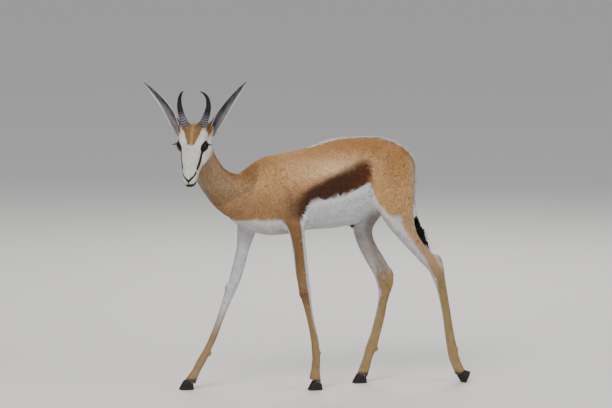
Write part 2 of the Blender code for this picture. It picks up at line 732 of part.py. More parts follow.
def tuft_locks():
    """The black tuft: locks set round the lower end of the tail, hanging down and a little back."""
    draw = Random(SEED + 1)
    locks = []
    for k in range(TUFT_LOCKS):
        share = k / (TUFT_LOCKS - 1)
        angle = 2.4 * k
        z = 0.545 - 0.060 * share
        x = 0.372 + 0.015 * share
        radial = Vector((math.cos(angle), math.sin(angle), 0))
        root = Vector((x, 0.009, z)) + radial * 0.0015
        lie = Vector((0.36, 0.02 * math.sin(angle), -1)).normalized()
        out = (radial - Vector((0, 0, 2.2))).normalized()
        length = TUFT_LENGTH * draw.uniform(0.8, 1.1)
        locks.append(lock_rings(root, out, lie, length, TUFT_WIDTH, TUFT_THICKNESS, 1.2))
    return locks


def stand_on_origin(nodes):
    """Moves the whole animal so that the middle of its box stands on the origin."""
    corners = np.array([v.co[:] for node in nodes for v in node.data.vertices])
    low, high = corners.min(axis=0), corners.max(axis=0)
    shift = Vector((-(low[0] + high[0]) / 2, -(low[1] + high[1]) / 2, -low[2]))
    for node in nodes:
        node.data.transform(Matrix.Translation(shift))
    return shift


def main():
    for obj in list(bpy.data.objects):
        bpy.data.objects.remove(obj)
    body, head = make_body(), make_head()
    reach = 0.3

    legs = [part_off(body, "leg_fore_left", (-0.12, -0.13, -0.1), (0.06, -0.030, 0.505)),
            part_off(body, "leg_fore_right", (-0.45, 0.030, -0.1), (-0.10, 0.13, 0.497))]
    groin = Matrix.Translation((0.26, 0, 0.566)) @ Matrix.Rotation(rad(-30), 4, "Y")
    for name, low, high in (("leg_hind_left", -0.14, -0.002), ("leg_hind_right", 0.002, 0.14)):
        legs.append(part_off(body, name, (-0.46, low, -0.80), (0.40, high, 0), groin))

    throat = head_frame() @ Matrix.Translation((-0.012, 0, -0.126)) @ Matrix.Rotation(rad(-13), 4, "Y")
    corners = (0, -reach, 0), (reach, reach, reach)
    boolean(head, box(*corners, throat), "INTERSECT")
    boolean(body, box(*corners, throat, GAP), "DIFFERENCE")
    largest_only(head)
    largest_only(body)
    breast = Matrix.Translation((-0.236, 0, 0.634)) @ Matrix.Rotation(rad(-28), 4, "Y")
    neck = part_off(body, "neck", (-reach, -0.15, -0.085), (0, 0.15, 0.4), breast)

    hooves = []
    for leg, foot in zip(legs, FEET):
        trim_foot(leg, foot)
        for place, sign in (("outer", 1), ("inner", -1)):
            hooves.append(make_claw(f"hoof_{foot}_{place}", foot, sign if "left" in foot else -sign))

    cut_face(head)
    growths = []
    for side, sign in (("left", 1), ("right", -1)):
        eye = make_eye(f"eye_{side}", sign)
        boolean(head, grown(eye, GAP), "DIFFERENCE")
        largest_only(head)
        ear, horn = make_ear(f"ear_{side}", sign), make_horn(f"horn_{side}", sign)
        set_against(ear, head)
        set_against(horn, head)
        growths += [eye, ear, horn]

    add_locks(body, crest_locks())
    tail = make_tail()
    add_locks(tail, tuft_locks())
    set_against(tail, body)

    nodes = [head, neck, body, tail] + legs + hooves + growths
    print("shift", stand_on_origin(nodes))
    group = bpy.data.collections.new("springbok")
    bpy.context.scene.collection.children.link(group)
    for node in nodes:
        kind = node.name.split("_")[0]
        finish(node, SLOT_OF.get(kind, "coat"))
        print(node.name, len(node.data.polygons))
        bpy.context.scene.collection.objects.unlink(node)
        group.objects.link(node)


main()
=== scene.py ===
# %% [markdown]
# # A springbok ram in mid-stride
# The animal stands side-on and turns its head to look at us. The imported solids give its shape.
# Here it gets one seamless skin, muscles, a painted coat, tufts of hair, eyes, ears, horns and hooves.
# The springbok's own coat tells the species: cinnamon back, dark flank stripe, white belly and face.

# %% Load the frame
from contextlib import contextmanager
import json
import math
import bpy
import numpy as np
from mathutils import Matrix, Vector
from mathutils.bvhtree import BVHTree

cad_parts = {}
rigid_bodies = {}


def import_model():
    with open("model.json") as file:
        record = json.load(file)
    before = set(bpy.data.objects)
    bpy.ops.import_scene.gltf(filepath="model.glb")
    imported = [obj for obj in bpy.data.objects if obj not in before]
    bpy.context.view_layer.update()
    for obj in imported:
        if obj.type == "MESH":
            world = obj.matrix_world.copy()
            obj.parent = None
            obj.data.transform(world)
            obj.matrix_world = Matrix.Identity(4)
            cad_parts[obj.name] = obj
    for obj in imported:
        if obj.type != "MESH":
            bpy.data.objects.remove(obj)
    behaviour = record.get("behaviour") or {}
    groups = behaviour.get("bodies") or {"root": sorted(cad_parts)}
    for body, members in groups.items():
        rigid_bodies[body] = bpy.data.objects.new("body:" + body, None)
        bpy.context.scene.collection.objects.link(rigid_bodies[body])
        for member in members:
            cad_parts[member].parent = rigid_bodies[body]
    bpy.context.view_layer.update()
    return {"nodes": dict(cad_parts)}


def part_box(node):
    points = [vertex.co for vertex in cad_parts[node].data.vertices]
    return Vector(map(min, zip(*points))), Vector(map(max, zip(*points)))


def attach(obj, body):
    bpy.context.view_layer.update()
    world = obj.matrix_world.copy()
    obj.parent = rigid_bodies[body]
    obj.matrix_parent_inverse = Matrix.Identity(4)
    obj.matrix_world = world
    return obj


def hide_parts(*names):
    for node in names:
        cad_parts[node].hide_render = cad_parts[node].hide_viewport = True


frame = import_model()
nodes = frame["nodes"]

# %% [markdown]
# ## Places on the body
# The solids were first drawn in a frame of their own and then moved so that the box's middle stands
# on the origin. The left eye tells by how much, and from it come all the other places.
# The head has its own axes: x to the nose, y to the animal's left, z out of the forehead.

# %% The body's and the head's own frames
HEAD_AT = Vector((-0.391, -0.085, 0.877))
HEAD_TURN, HEAD_PITCH = math.radians(62), math.radians(52)
EYE_AT = Vector((0.088, 0.0312, -0.025))
level = Vector((-math.cos(HEAD_TURN), -math.sin(HEAD_TURN), 0))
to_nose = level * math.cos(HEAD_PITCH) - Vector((0, 0, math.sin(HEAD_PITCH)))
to_left = Vector((0, 0, 1)).cross(level)
to_brow = to_nose.cross(to_left)
head_axes = Matrix((to_nose, to_left, to_brow)).transposed()
low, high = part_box("eye_left")
HOME = (low + high) / 2 - (HEAD_AT + head_axes @ EYE_AT)
HEAD_HOME = HEAD_AT + HOME


def from_head(x, y, z):
    """A point of the head's frame, in the scene."""
    return HEAD_HOME + head_axes @ Vector((x, y, z))


def in_head(points):
    return (points - np.array(HEAD_HOME)) @ np.array(head_axes)


def in_body(points):
    return points - np.array(HOME)


EYE_RADIUS = 0.0166
EYE_AXIS = (0.60, 0.72, 0.35)
EYE_HALF = (0.0156, 0.0120)
SIDES = (("left", 1), ("right", -1))


def eye_frame(sign):
    """The eye's centre, the way it looks, and the ways to its front corner and to the cheek."""
    centre = from_head(EYE_AT.x, sign * EYE_AT.y, EYE_AT.z)
    axis = (head_axes @ Vector((EYE_AXIS[0], sign * EYE_AXIS[1], EYE_AXIS[2]))).normalized()
    across = head_axes @ Vector((1, 0, -0.10))
    across = (across - axis * across.dot(axis)).normalized()
    return centre, axis, across, axis.cross(across) * sign


print("home", [round(v, 4) for v in HOME])

# %% [markdown]
# ## Camera, floor and light
# The photo was taken with a long lens from almost level ground, a little ahead of the animal's side.
# A long lens far away keeps the near and far legs almost the same size, as there.

# %% Camera
LOOK_AT = HOME + Vector((0, 0, 0.585))
AZIMUTH, ELEVATION, DISTANCE = math.radians(-18), math.radians(6), 12.0
SENSOR, FRAME_WIDTH, PX_PER_METRE = 36, 612, 316   # mm, px, and the scale at the animal
back = Vector((math.sin(AZIMUTH) * math.cos(ELEVATION), -math.cos(AZIMUTH) * math.cos(ELEVATION),
               math.sin(ELEVATION)))
bpy.ops.object.select_all(action="DESELECT")
bpy.ops.object.camera_add(location=LOOK_AT + back * DISTANCE)
camera = bpy.context.object
camera.rotation_euler = (-back).to_track_quat("-Z", "Y").to_euler()
camera.data.sensor_width = SENSOR
camera.data.lens = SENSOR * DISTANCE * PX_PER_METRE / FRAME_WIDTH
bpy.context.scene.camera = camera
print("lens", round(camera.data.lens), "mm")

# %% Floor and lamps
bpy.ops.mesh.primitive_grid_add(x_subdivisions=8, y_subdivisions=8, size=300)
floor = bpy.context.object
floor.name = "floor"
LAMPS_AIM = Vector((0, 0, 0.55))


def lamp(name, place, size, power, colour):
    """A soft square lamp that points at the animal's middle."""
    bpy.ops.object.light_add(type="AREA", location=place)
    light = bpy.context.object
    light.name = name
    light.data.size = size
    light.data.energy = power
    light.data.color = colour
    light.rotation_euler = (Vector(place) - LAMPS_AIM).to_track_quat("Z", "Y").to_euler()


lamp("key_lamp", (-2.6, -3.6, 4.6), 2.6, 330, (1.0, 0.97, 0.93))
lamp("fill_lamp", (3.4, -4.0, 2.2), 3.5, 110, (0.93, 0.96, 1.0))
lamp("rim_lamp", (1.6, 3.4, 3.6), 2.2, 150, (1.0, 0.98, 0.95))
world = bpy.data.worlds.new("studio")
world.use_nodes = True
sky = world.node_tree.nodes["Background"].inputs
sky["Color"].default_value = (0.90, 0.92, 0.95, 1)
sky["Strength"].default_value = 0.62
bpy.context.scene.world = world
print("stage is set")

# %% [markdown]
# ## Small tools
# Each piece is made by hand operators where that works. Long lists of points are read and written
# with numpy, because a hundred thousand vertices are too many to visit one by one.

# %% Reading, writing and finishing meshes


def read(rows, field, width=1, kind=np.float32):
    """One field of all the rows of a mesh, that many numbers to a row."""
    values = np.empty(len(rows) * width, kind)
    rows.foreach_get(field, values)
    return values.reshape(-1, width) if width > 1 else values


def points_of(obj):
    return read(obj.data.vertices, "co", 3).astype(float)


def normals_of(obj):
    return read(obj.data.vertex_normals, "vector", 3).astype(float)


def move_to(obj, points):
    obj.data.vertices.foreach_set("co", points.astype(np.float32).ravel())
    obj.data.update()


def only(obj):
    """Selects one object alone."""
    bpy.ops.object.select_all(action="DESELECT")
    obj.select_set(True)
    bpy.context.view_layer.objects.active = obj


@contextmanager
def edit_mode(obj):
    """Edit mode on one object, for as long as the block lasts."""
    only(obj)
    bpy.ops.object.mode_set(mode="EDIT")
    yield
    bpy.ops.object.mode_set(mode="OBJECT")


def settle(obj, kind, **settings):
    """Adds a modifier with its settings and applies it."""
    only(obj)
    modifier = obj.modifiers.new(kind.lower(), kind)
    for name, value in settings.items():
        setattr(modifier, name, value)
    bpy.ops.object.modifier_apply(modifier=modifier.name)


def merged_copy(names, name):
    """Copies of solids, joined in one object with their loose corners merged."""
    copies = []
    for node in names:
        copy = bpy.data.objects.new(node + "_copy", nodes[node].data.copy())
        bpy.context.scene.collection.objects.link(copy)
        copies.append(copy)
    only(copies[0])
    for copy in copies:
        copy.select_set(True)
    if len(copies) > 1:
        bpy.ops.object.join()
    piece = bpy.context.object
    piece.name = name
    with edit_mode(piece):
        bpy.ops.mesh.select_all(action="SELECT")
        bpy.ops.mesh.remove_doubles(threshold=0.00005)
    return piece


def step(values, edge, width):
    """0 below an edge, 1 above it, and a soft step of that width between."""
    t = np.clip((values - edge) / width + 0.5, 0, 1)
    return t * t * (3 - 2 * t)


def blob(*shares):
    """1 where all the shares are 0, and almost nothing where one passes 2."""
    return np.exp(-sum(share ** 2 for share in shares))


def dot(first, second):
    return np.sum(first * second, axis=1)[:, None]


def unit(ways):
    return ways / np.maximum(np.linalg.norm(ways, axis=1), 1e-9)[:, None]


def near_line(points, line):
    """The distance to a line of straight stretches, and how far along it the nearest place is."""
    best = np.full(len(points), 1e9)
    share = np.zeros(len(points))
    line = np.array(line, float)
    for k in range(len(line) - 1):
        run = line[k + 1] - line[k]
        t = np.clip((points - line[k]) @ run / (run @ run), 0, 1)
        away = np.linalg.norm(points - line[k] - t[:, None] * run, axis=1)
        closer = away < best
        best[closer] = away[closer]
        share[closer] = (k + t[closer]) / (len(line) - 1)
    return best, share


def waver(points, size, seed=0):
    """Smooth noise from -1 to 1 made of crossed waves, of about that size in metres."""
    draw = np.random.default_rng(seed)
    total = np.zeros(len(points))
    for _ in range(7):
        way = draw.normal(size=3)
        way /= np.linalg.norm(way)
        total += np.sin(points @ way * (2 * math.pi / size) * draw.uniform(0.7, 1.5)
                        + draw.uniform(0, 7))
    return total / 3.2


def smooth_path(points, count):
    """A curve through the points, as Catmull-Rom."""
    points = [2 * np.array(points[0]) - points[1], *map(np.array, points),
              2 * np.array(points[-1]) - points[-2]]
    made = []
    for k in range(count):
        place = k / (count - 1) * (len(points) - 3)
        j = min(int(place), len(points) - 4)
        t = place - j
        a, b, c, d = points[j:j + 4]
        made.append(0.5 * (2 * b + (c - a) * t + (2 * a - 5 * b + 4 * c - d) * t * t
                           + (3 * b - a - 3 * c + d) * t ** 3))
    return np.array(made)


print("tools are ready")

# %% [markdown]
# ## One skin
# Head, neck, trunk, tail and legs are separate solids, but a live animal has one skin. Their copies
# are swollen by 0.6 mm so that they overlap, then the Remesh modifier draws one closed
# surface round them. It is smoothed, so no joint and no facet shows.

# %% The body's skin
FLESH = ["head", "neck", "torso", "tail", "leg_fore_left", "leg_fore_right", "leg_hind_left",
         "leg_hind_right"]
SWELL, VOXEL, SKIN_FACES = 0.0006, 0.0018, 130000
skin = merged_copy(FLESH, "skin")
move_to(skin, points_of(skin) + normals_of(skin) * SWELL)
settle(skin, "REMESH", mode="VOXEL", voxel_size=VOXEL)
settle(skin, "SMOOTH", factor=0.5, iterations=9)
print("skin", len(skin.data.vertices), "points")

# %% Which part of the body a point is on
LEGS = {   # z, x, y of the middle line, half depth, half width, in the body's frame
    "fore_left": ((0.56, -0.064, -0.062, 0.046, 0.030), (0.45, -0.045, -0.072, 0.024, 0.0195),
                  (0.33, -0.029, -0.070, 0.019, 0.0172), (0.225, -0.0075, -0.069, 0.0115, 0.0118),
                  (0.125, 0.010, -0.068, 0.013, 0.0150), (0.04, 0.0075, -0.068, 0.0185, 0.0165)),
    "fore_right": ((0.56, -0.168, 0.058, 0.046, 0.029), (0.44, -0.189, 0.067, 0.023, 0.0195),
                   (0.33, -0.222, 0.065, 0.0185, 0.0172), (0.218, -0.266, 0.065, 0.012, 0.0118),
                   (0.12, -0.310, 0.064, 0.0125, 0.0145), (0.04, -0.357, 0.064, 0.018, 0.0165)),
    "hind_left": ((0.60, 0.278, -0.054, 0.068, 0.042), (0.505, 0.300, -0.065, 0.046, 0.031),
                  (0.412, 0.378, -0.068, 0.035, 0.018), (0.34, 0.423, -0.067, 0.0205, 0.0165),
                  (0.223, 0.451, -0.064, 0.0145, 0.0118), (0.116, 0.471, -0.061, 0.017, 0.015),
                  (0.04, 0.497, -0.060, 0.018, 0.017)),
    "hind_right": ((0.60, 0.238, 0.053, 0.078, 0.044), (0.50, 0.210, 0.056, 0.038, 0.030),
                   (0.375, 0.258, 0.048, 0.033, 0.018), (0.29, 0.278, 0.042, 0.0205, 0.016),
                   (0.205, 0.260, 0.037, 0.017, 0.0118), (0.115, 0.231, 0.032, 0.019, 0.015),
                   (0.04, 0.205, 0.030, 0.018, 0.0165)),
}
# x, y, z of the neck's middle line, and how far its crest is turned, in degrees
NECK = np.array(((-0.130, 0.000, 0.622, 0), (-0.227, 0.000, 0.614, 0), (-0.296, -0.004, 0.660, 8),
                 (-0.341, -0.014, 0.728, 25), (-0.362, -0.031, 0.792, 45), (-0.369, -0.048, 0.824, 55),
                 (-0.379, -0.063, 0.838, 60)))


def on_head(points, room=0.0):
    """1 on the head, 0 behind the jaw and the poll. Room widens it, away from the forehead's side."""
    x, _, z = in_head(points).T
    room = room * step(-z, 0.030, 0.03)
    behind = 0.974 * (x + 0.012) + 0.225 * (z + 0.126) + room
    below = -0.225 * (x + 0.012) + 0.974 * (z + 0.126) + room
    close = step(-np.linalg.norm(in_head(points) - (0.09, 0, -0.05), axis=1), -0.20, 0.04)
    return step(behind, 0.0, 0.02) * step(below, 0.0, 0.02) * close


def on_neck(points):
    """1 on the neck, fading into the shoulders."""
    x, _, z = in_body(points).T
    return step(-(0.55 * x - z), 0.76, 0.10) * step(-x, 0.17, 0.08) * (1 - on_head(points))


def neck_places(points):
    """The way along the neck to the breast, and the share round it: 0 at the throat, 1 at the crest."""
    share = near_line(in_body(points), NECK[:, :3])[1]
    steps = np.linspace(0, 1, len(NECK))
    middle, along = (np.column_stack([np.interp(share, steps, rows[:, k]) for k in range(3)])
                     for rows in (NECK, -np.gradient(NECK, axis=0)))
    turn = np.radians(np.interp(share, steps, NECK[:, 3]))
    along = unit(along)
    crest = np.column_stack((np.cos(turn), np.sin(turn), np.full(len(points), 0.35)))
    crest = unit(crest - along * dot(crest, along))
    out = in_body(points) - middle
    out = unit(out - along * dot(out, along))
    return along, 1 - np.arccos(np.clip(dot(out, crest)[:, 0], -1, 1)) / math.pi


def leg_places(points):
    """For each point: share to the front and to the outside, if on a hind leg, and the leg's slant."""
    x, y, z = in_body(points).T
    hind, left = x > 0.10, y < 0
    forward, outward, slant = (np.zeros(len(points)) for _ in range(3))
    for name, rows in LEGS.items():
        here = (hind == name.startswith("hind")) & (left == name.endswith("left"))
        heights, *columns = np.array(rows[::-1]).T
        columns.append(np.gradient(columns[0], heights))
        xs, ys, depth, width, slope = (np.interp(z[here], heights, column) for column in columns)
        forward[here] = (xs - x[here]) / depth
        outward[here] = (y[here] - ys) / width * (-1 if name.endswith("left") else 1)
        slant[here] = slope
    return forward, outward, hind, slant


print("head share", round(on_head(points_of(skin)).mean(), 3))

# %% [markdown]
# ## Room for the coat
# The solids reach to the tips of the hair. The skin lies inside them by the depth of the coat, which
# is about four millimetres on the trunk, one on the face and the lower legs, and more in the tail.
# The tail's thin end leaves loose bits behind, so only the shell that the flank belongs to is kept.

# %% Sink the skin


def coat_depth(points):
    x, y, z = in_body(points).T
    trunk = step(z, 0.44, 0.14) * (1 - on_head(points))
    in_tail = (x > 0.352) * (np.abs(y - 0.009) < 0.03) * step(-z, -0.62, 0.06) * (z > 0.44)
    return 0.0012 + 0.0026 * trunk + 0.0030 * in_tail


move_to(skin, points_of(skin) - normals_of(skin) * coat_depth(points_of(skin))[:, None])
settle(skin, "SMOOTH", factor=0.5, iterations=2)
settle(skin, "DECIMATE", ratio=SKIN_FACES / (2 * len(skin.data.polygons)))
spots = in_body(points_of(skin))
flank = int(np.argmax(spots[:, 1] * (spots[:, 2] > 0.55)))
with edit_mode(skin):
    bpy.ops.mesh.select_all(action="DESELECT")
skin.data.vertices[flank].select = True
with edit_mode(skin):
    bpy.ops.mesh.select_linked()
    bpy.ops.mesh.select_all(action="INVERT")
    bpy.ops.mesh.delete(type="VERT")
centres = read(skin.data.polygons, "center", 3).astype(float)
skin.data.polygons.foreach_set("select", on_head(centres) > 0.5)
with edit_mode(skin):
    bpy.ops.mesh.subdivide(number_cuts=1, smoothness=0.4)
    bpy.ops.mesh.select_all(action="SELECT")
    bpy.ops.mesh.quads_convert_to_tris()
bpy.ops.object.shade_smooth()
print("skin", len(skin.data.polygons), "triangles")

# %% [markdown]
# ## Muscles, bones and folds
# Short hair shows what lies under it. Each muscle's edge, tendon, vein or fold is a line drawn on the
# body, with a width and a height. Points near it move out, or in where the height is below zero.

# %% Lines under the skin
NEAR, FAR, BOTH = (-1,), (1,), (-1, 1)
BODY_LINES = (   # sides, half width, height, points as x, z on that side of the body
    (BOTH, 0.014, -0.0030, ((-0.165, 0.715), (-0.175, 0.66), (-0.20, 0.60))),   # before the shoulder
    (BOTH, 0.016, 0.0026, ((-0.115, 0.725), (-0.135, 0.67), (-0.165, 0.61))),   # shoulder blade's spine
    (BOTH, 0.012, -0.0024, ((-0.085, 0.715), (-0.09, 0.66), (-0.075, 0.61))),   # behind the shoulder
    (BOTH, 0.018, 0.0032, ((-0.10, 0.64), (-0.085, 0.59), (-0.07, 0.555))),   # triceps
    (BOTH, 0.012, -0.0030, ((-0.035, 0.60), (-0.04, 0.56), (-0.045, 0.53))),   # behind the elbow
    (BOTH, 0.014, 0.0022, ((0.17, 0.745), (0.215, 0.742), (0.25, 0.725))),   # hip bone
    (BOTH, 0.018, -0.0030, ((0.150, 0.72), (0.155, 0.67), (0.165, 0.62))),   # hollow of the flank
    (BOTH, 0.010, 0.0030, ((0.165, 0.665), (0.175, 0.635), (0.19, 0.60))),   # fold to the stifle
    (BOTH, 0.014, -0.0024, ((0.265, 0.73), (0.275, 0.66), (0.29, 0.58))),   # between thigh muscles
    (BOTH, 0.016, 0.0024, ((0.30, 0.73), (0.315, 0.66), (0.325, 0.59))),   # back of the thigh
    (BOTH, 0.012, -0.0018, ((0.00, 0.56), (0.06, 0.545), (0.13, 0.545))),   # under the ribs
    (NEAR, 0.006, -0.0030, ((0.345, 0.455), (0.385, 0.415), (0.425, 0.385))),   # before the tendon
    (NEAR, 0.004, 0.0022, ((0.355, 0.475), (0.40, 0.425), (0.437, 0.39))),   # tendon of the hock
    (FAR, 0.006, -0.0030, ((0.235, 0.45), (0.262, 0.39), (0.290, 0.345))),
    (FAR, 0.004, 0.0022, ((0.250, 0.45), (0.283, 0.385), (0.303, 0.345))),
    (NEAR, 0.0035, -0.0018, ((0.440, 0.31), (0.452, 0.22), (0.466, 0.14))),   # along the cannon bone
    (FAR, 0.0035, -0.0018, ((0.285, 0.265), (0.265, 0.20), (0.240, 0.14))),
    (NEAR, 0.0035, -0.0018, ((-0.018, 0.275), (-0.004, 0.21), (0.010, 0.14))),
    (FAR, 0.0035, -0.0018, ((-0.238, 0.275), (-0.262, 0.21), (-0.290, 0.14))),
    (NEAR, 0.005, 0.0018, ((-0.062, 0.50), (-0.052, 0.42), (-0.040, 0.36))),   # forearm muscle
    (FAR, 0.005, 0.0018, ((-0.205, 0.49), (-0.212, 0.42), (-0.228, 0.36))),
)
NECK_LINES = (   # share round from the throat, half width as such a share, height
    (0.27, 0.05, -0.0022), (0.40, 0.07, 0.0018), (0.60, 0.06, -0.0016),
)
spots = points_of(skin)
ways = normals_of(skin)
x, y, z = in_body(spots).T
lift = np.zeros(len(spots))
for sides, half, height, line in BODY_LINES:
    flat = np.column_stack((x, z))
    away, share = near_line(flat, line)
    ends = np.clip(np.minimum(share, 1 - share) * 6 + 0.25, 0, 1)
    facing = step(np.abs(ways[:, 1]), 0.35, 0.5)
    for side in sides:
        lift += height * np.exp(-(away / half) ** 2) * ends * facing * (y * side > 0)
around = neck_places(spots)[1]
for round_share, half, height in NECK_LINES:
    lift += height * np.exp(-((around - round_share) / half) ** 2) * on_neck(spots)
lift += 0.007 * np.exp(-((x + 0.215) / 0.05) ** 2) * step(around, 0.72, 0.4) * (z > 0.6)
move_to(skin, spots + ways * (lift * (1 - on_head(spots)))[:, None])
print("moved by up to", round(float(np.abs(lift).max() * 1000), 1), "mm")

# %% [markdown]
# ## The face
# The brow, the bridge of the nose, the nostrils, the split lip and the line of the mouth are cut with
# the same kind of lines, in the head's own frame and the same on both sides.

# %% Lines of the face


def laid(line, tree, count=14):
    """A smooth line through places in the head's frame, laid on the skin."""
    spots = [tree.find_nearest(from_head(*place))[0] for place in smooth_path(line, count)]
    return in_head(np.array(spots))


FACE_LINES = (   # half width, height, points in the head's frame, mirrored to the other side
    (0.0026, -0.0026, ((0.2090, 0.0050, -0.0400), (0.2046, 0.0100, -0.0370), (0.1960, 0.0160, -0.0370),
                       (0.1880, 0.0185, -0.0360))),   # nostril
    (0.0032, 0.0016, ((0.2010, 0.0080, -0.0320), (0.1930, 0.0140, -0.0320), (0.1830, 0.0175, -0.0330))),
    (0.0012, -0.0016, ((0.2120, 0.0000, -0.0410), (0.2160, 0.0000, -0.0500), (0.2170, 0.0, -0.0600))),
    (0.0018, -0.0030, ((0.2190, 0.0000, -0.0530), (0.2080, 0.0150, -0.0560), (0.1950, 0.0210, -0.0580),
                       (0.1750, 0.0230, -0.0640), (0.1520, 0.0240, -0.0680))),   # mouth
    (0.0280, 0.0040, ((0.0300, 0.0400, -0.0600), (0.0550, 0.0420, -0.0750), (0.0800, 0.0400, -0.0800))),
    (0.0060, -0.0022, ((0.1130, 0.0330, -0.0250), (0.1350, 0.0300, -0.0310), (0.1650, 0.0240, -0.0340))),
    (0.0070, 0.0016, ((0.1000, 0.0360, -0.0500), (0.1300, 0.0340, -0.0540), (0.1500, 0.0300, -0.0580))),
    (0.0100, -0.0016, ((0.0700, 0.0120, 0.0040), (0.1000, 0.0110, -0.0020), (0.1300, 0.0100, -0.0100))),
    (0.0080, -0.0020, ((0.0550, 0.0440, -0.0700), (0.0850, 0.0420, -0.0900), (0.1150, 0.0340, -0.0900))),
    (0.0050, 0.0018, ((0.0660, 0.0380, -0.0060), (0.0840, 0.0350, -0.0040), (0.1020, 0.0300, -0.0100))),
)
spots = points_of(skin)
ways = normals_of(skin)
face = in_head(spots) * (1, 0, 1) + np.abs(in_head(spots)) * (0, 1, 0)
lift = np.zeros(len(spots))
surface = BVHTree.FromObject(skin, bpy.context.evaluated_depsgraph_get())
for half, height, line in FACE_LINES:
    lift += height * np.exp(-(near_line(face, laid(line, surface))[0] / half) ** 2)
move_to(skin, spots + ways * (lift * on_head(spots))[:, None])
print("face lines up to", round(float(np.abs(lift).max() * 1000), 1), "mm")

# %% [markdown]
# ## The painted coat
# The colour is worked out once for any place on the body, and both the skin and the tufts take it
# from there, so a mark never slides between them. Each mark is a mask from 0 to 1 with its own edge.

# %% Colours of the coat
TAN = np.array((0.400, 0.222, 0.097))
CINNAMON = np.array((0.300, 0.143, 0.048))
# A paler tan, laid on the upper flank as a painted highlight.
FLANK_HIGHLIGHT_TAN = np.array((0.590, 0.400, 0.225))
NECK_TAN = np.array((0.352, 0.222, 0.113))
NECK_GREY = np.array((0.430, 0.310, 0.200))
NAPE = np.array((0.225, 0.100, 0.034))
CHOCOLATE = np.array((0.043, 0.016, 0.0065))
# A dark brown, used for real dark hair and also for painted shade behind the elbow.
DARK_BROWN_AND_SHADE = np.array((0.160, 0.080, 0.037))
FORE_TAN = np.array((0.185, 0.100, 0.042))
WHITE = np.array((0.500, 0.490, 0.498))
FACE_WHITE = np.array((0.490, 0.492, 0.452))
SHANK = np.array((0.262, 0.172, 0.078))
# A grey for painted shade on the inside of the hind legs.
INNER_SHADE_GREY = np.array((0.300, 0.255, 0.215))
SOOT = np.array((0.012, 0.009, 0.008))
FOREHEAD = np.array((0.112, 0.054, 0.020))
STREAK = np.array((0.340, 0.200, 0.085))
STRIPE_TOP = ((-0.075, 0.600), (-0.044, 0.637), (0.0, 0.664), (0.049, 0.687), (0.099, 0.708),
              (0.132, 0.722), (0.169, 0.731), (0.20, 0.727))
BELLY_TOP = ((-0.30, 0.540), (-0.054, 0.540), (-0.039, 0.5475), (-0.028, 0.569), (-0.0235, 0.590),
             (-0.016, 0.598), (0.017, 0.6035), (0.050, 0.6085), (0.084, 0.6155), (0.117, 0.626),
             (0.150, 0.640), (0.168, 0.649), (0.184, 0.655), (0.193, 0.637), (0.206, 0.6096), (0.220, 0.584),
             (0.252, 0.5416), (0.292, 0.5085), (0.325, 0.469), (0.367, 0.412))


def height_at(x, line):
    """The height of a side-on line of x, z places."""
    return np.interp(x, *np.array(line).T)


def lay(colours, mask, colour):
    """Lays a colour over others by a mask."""
    return colours + (colour - colours) * np.clip(mask, 0, 1)[:, None]


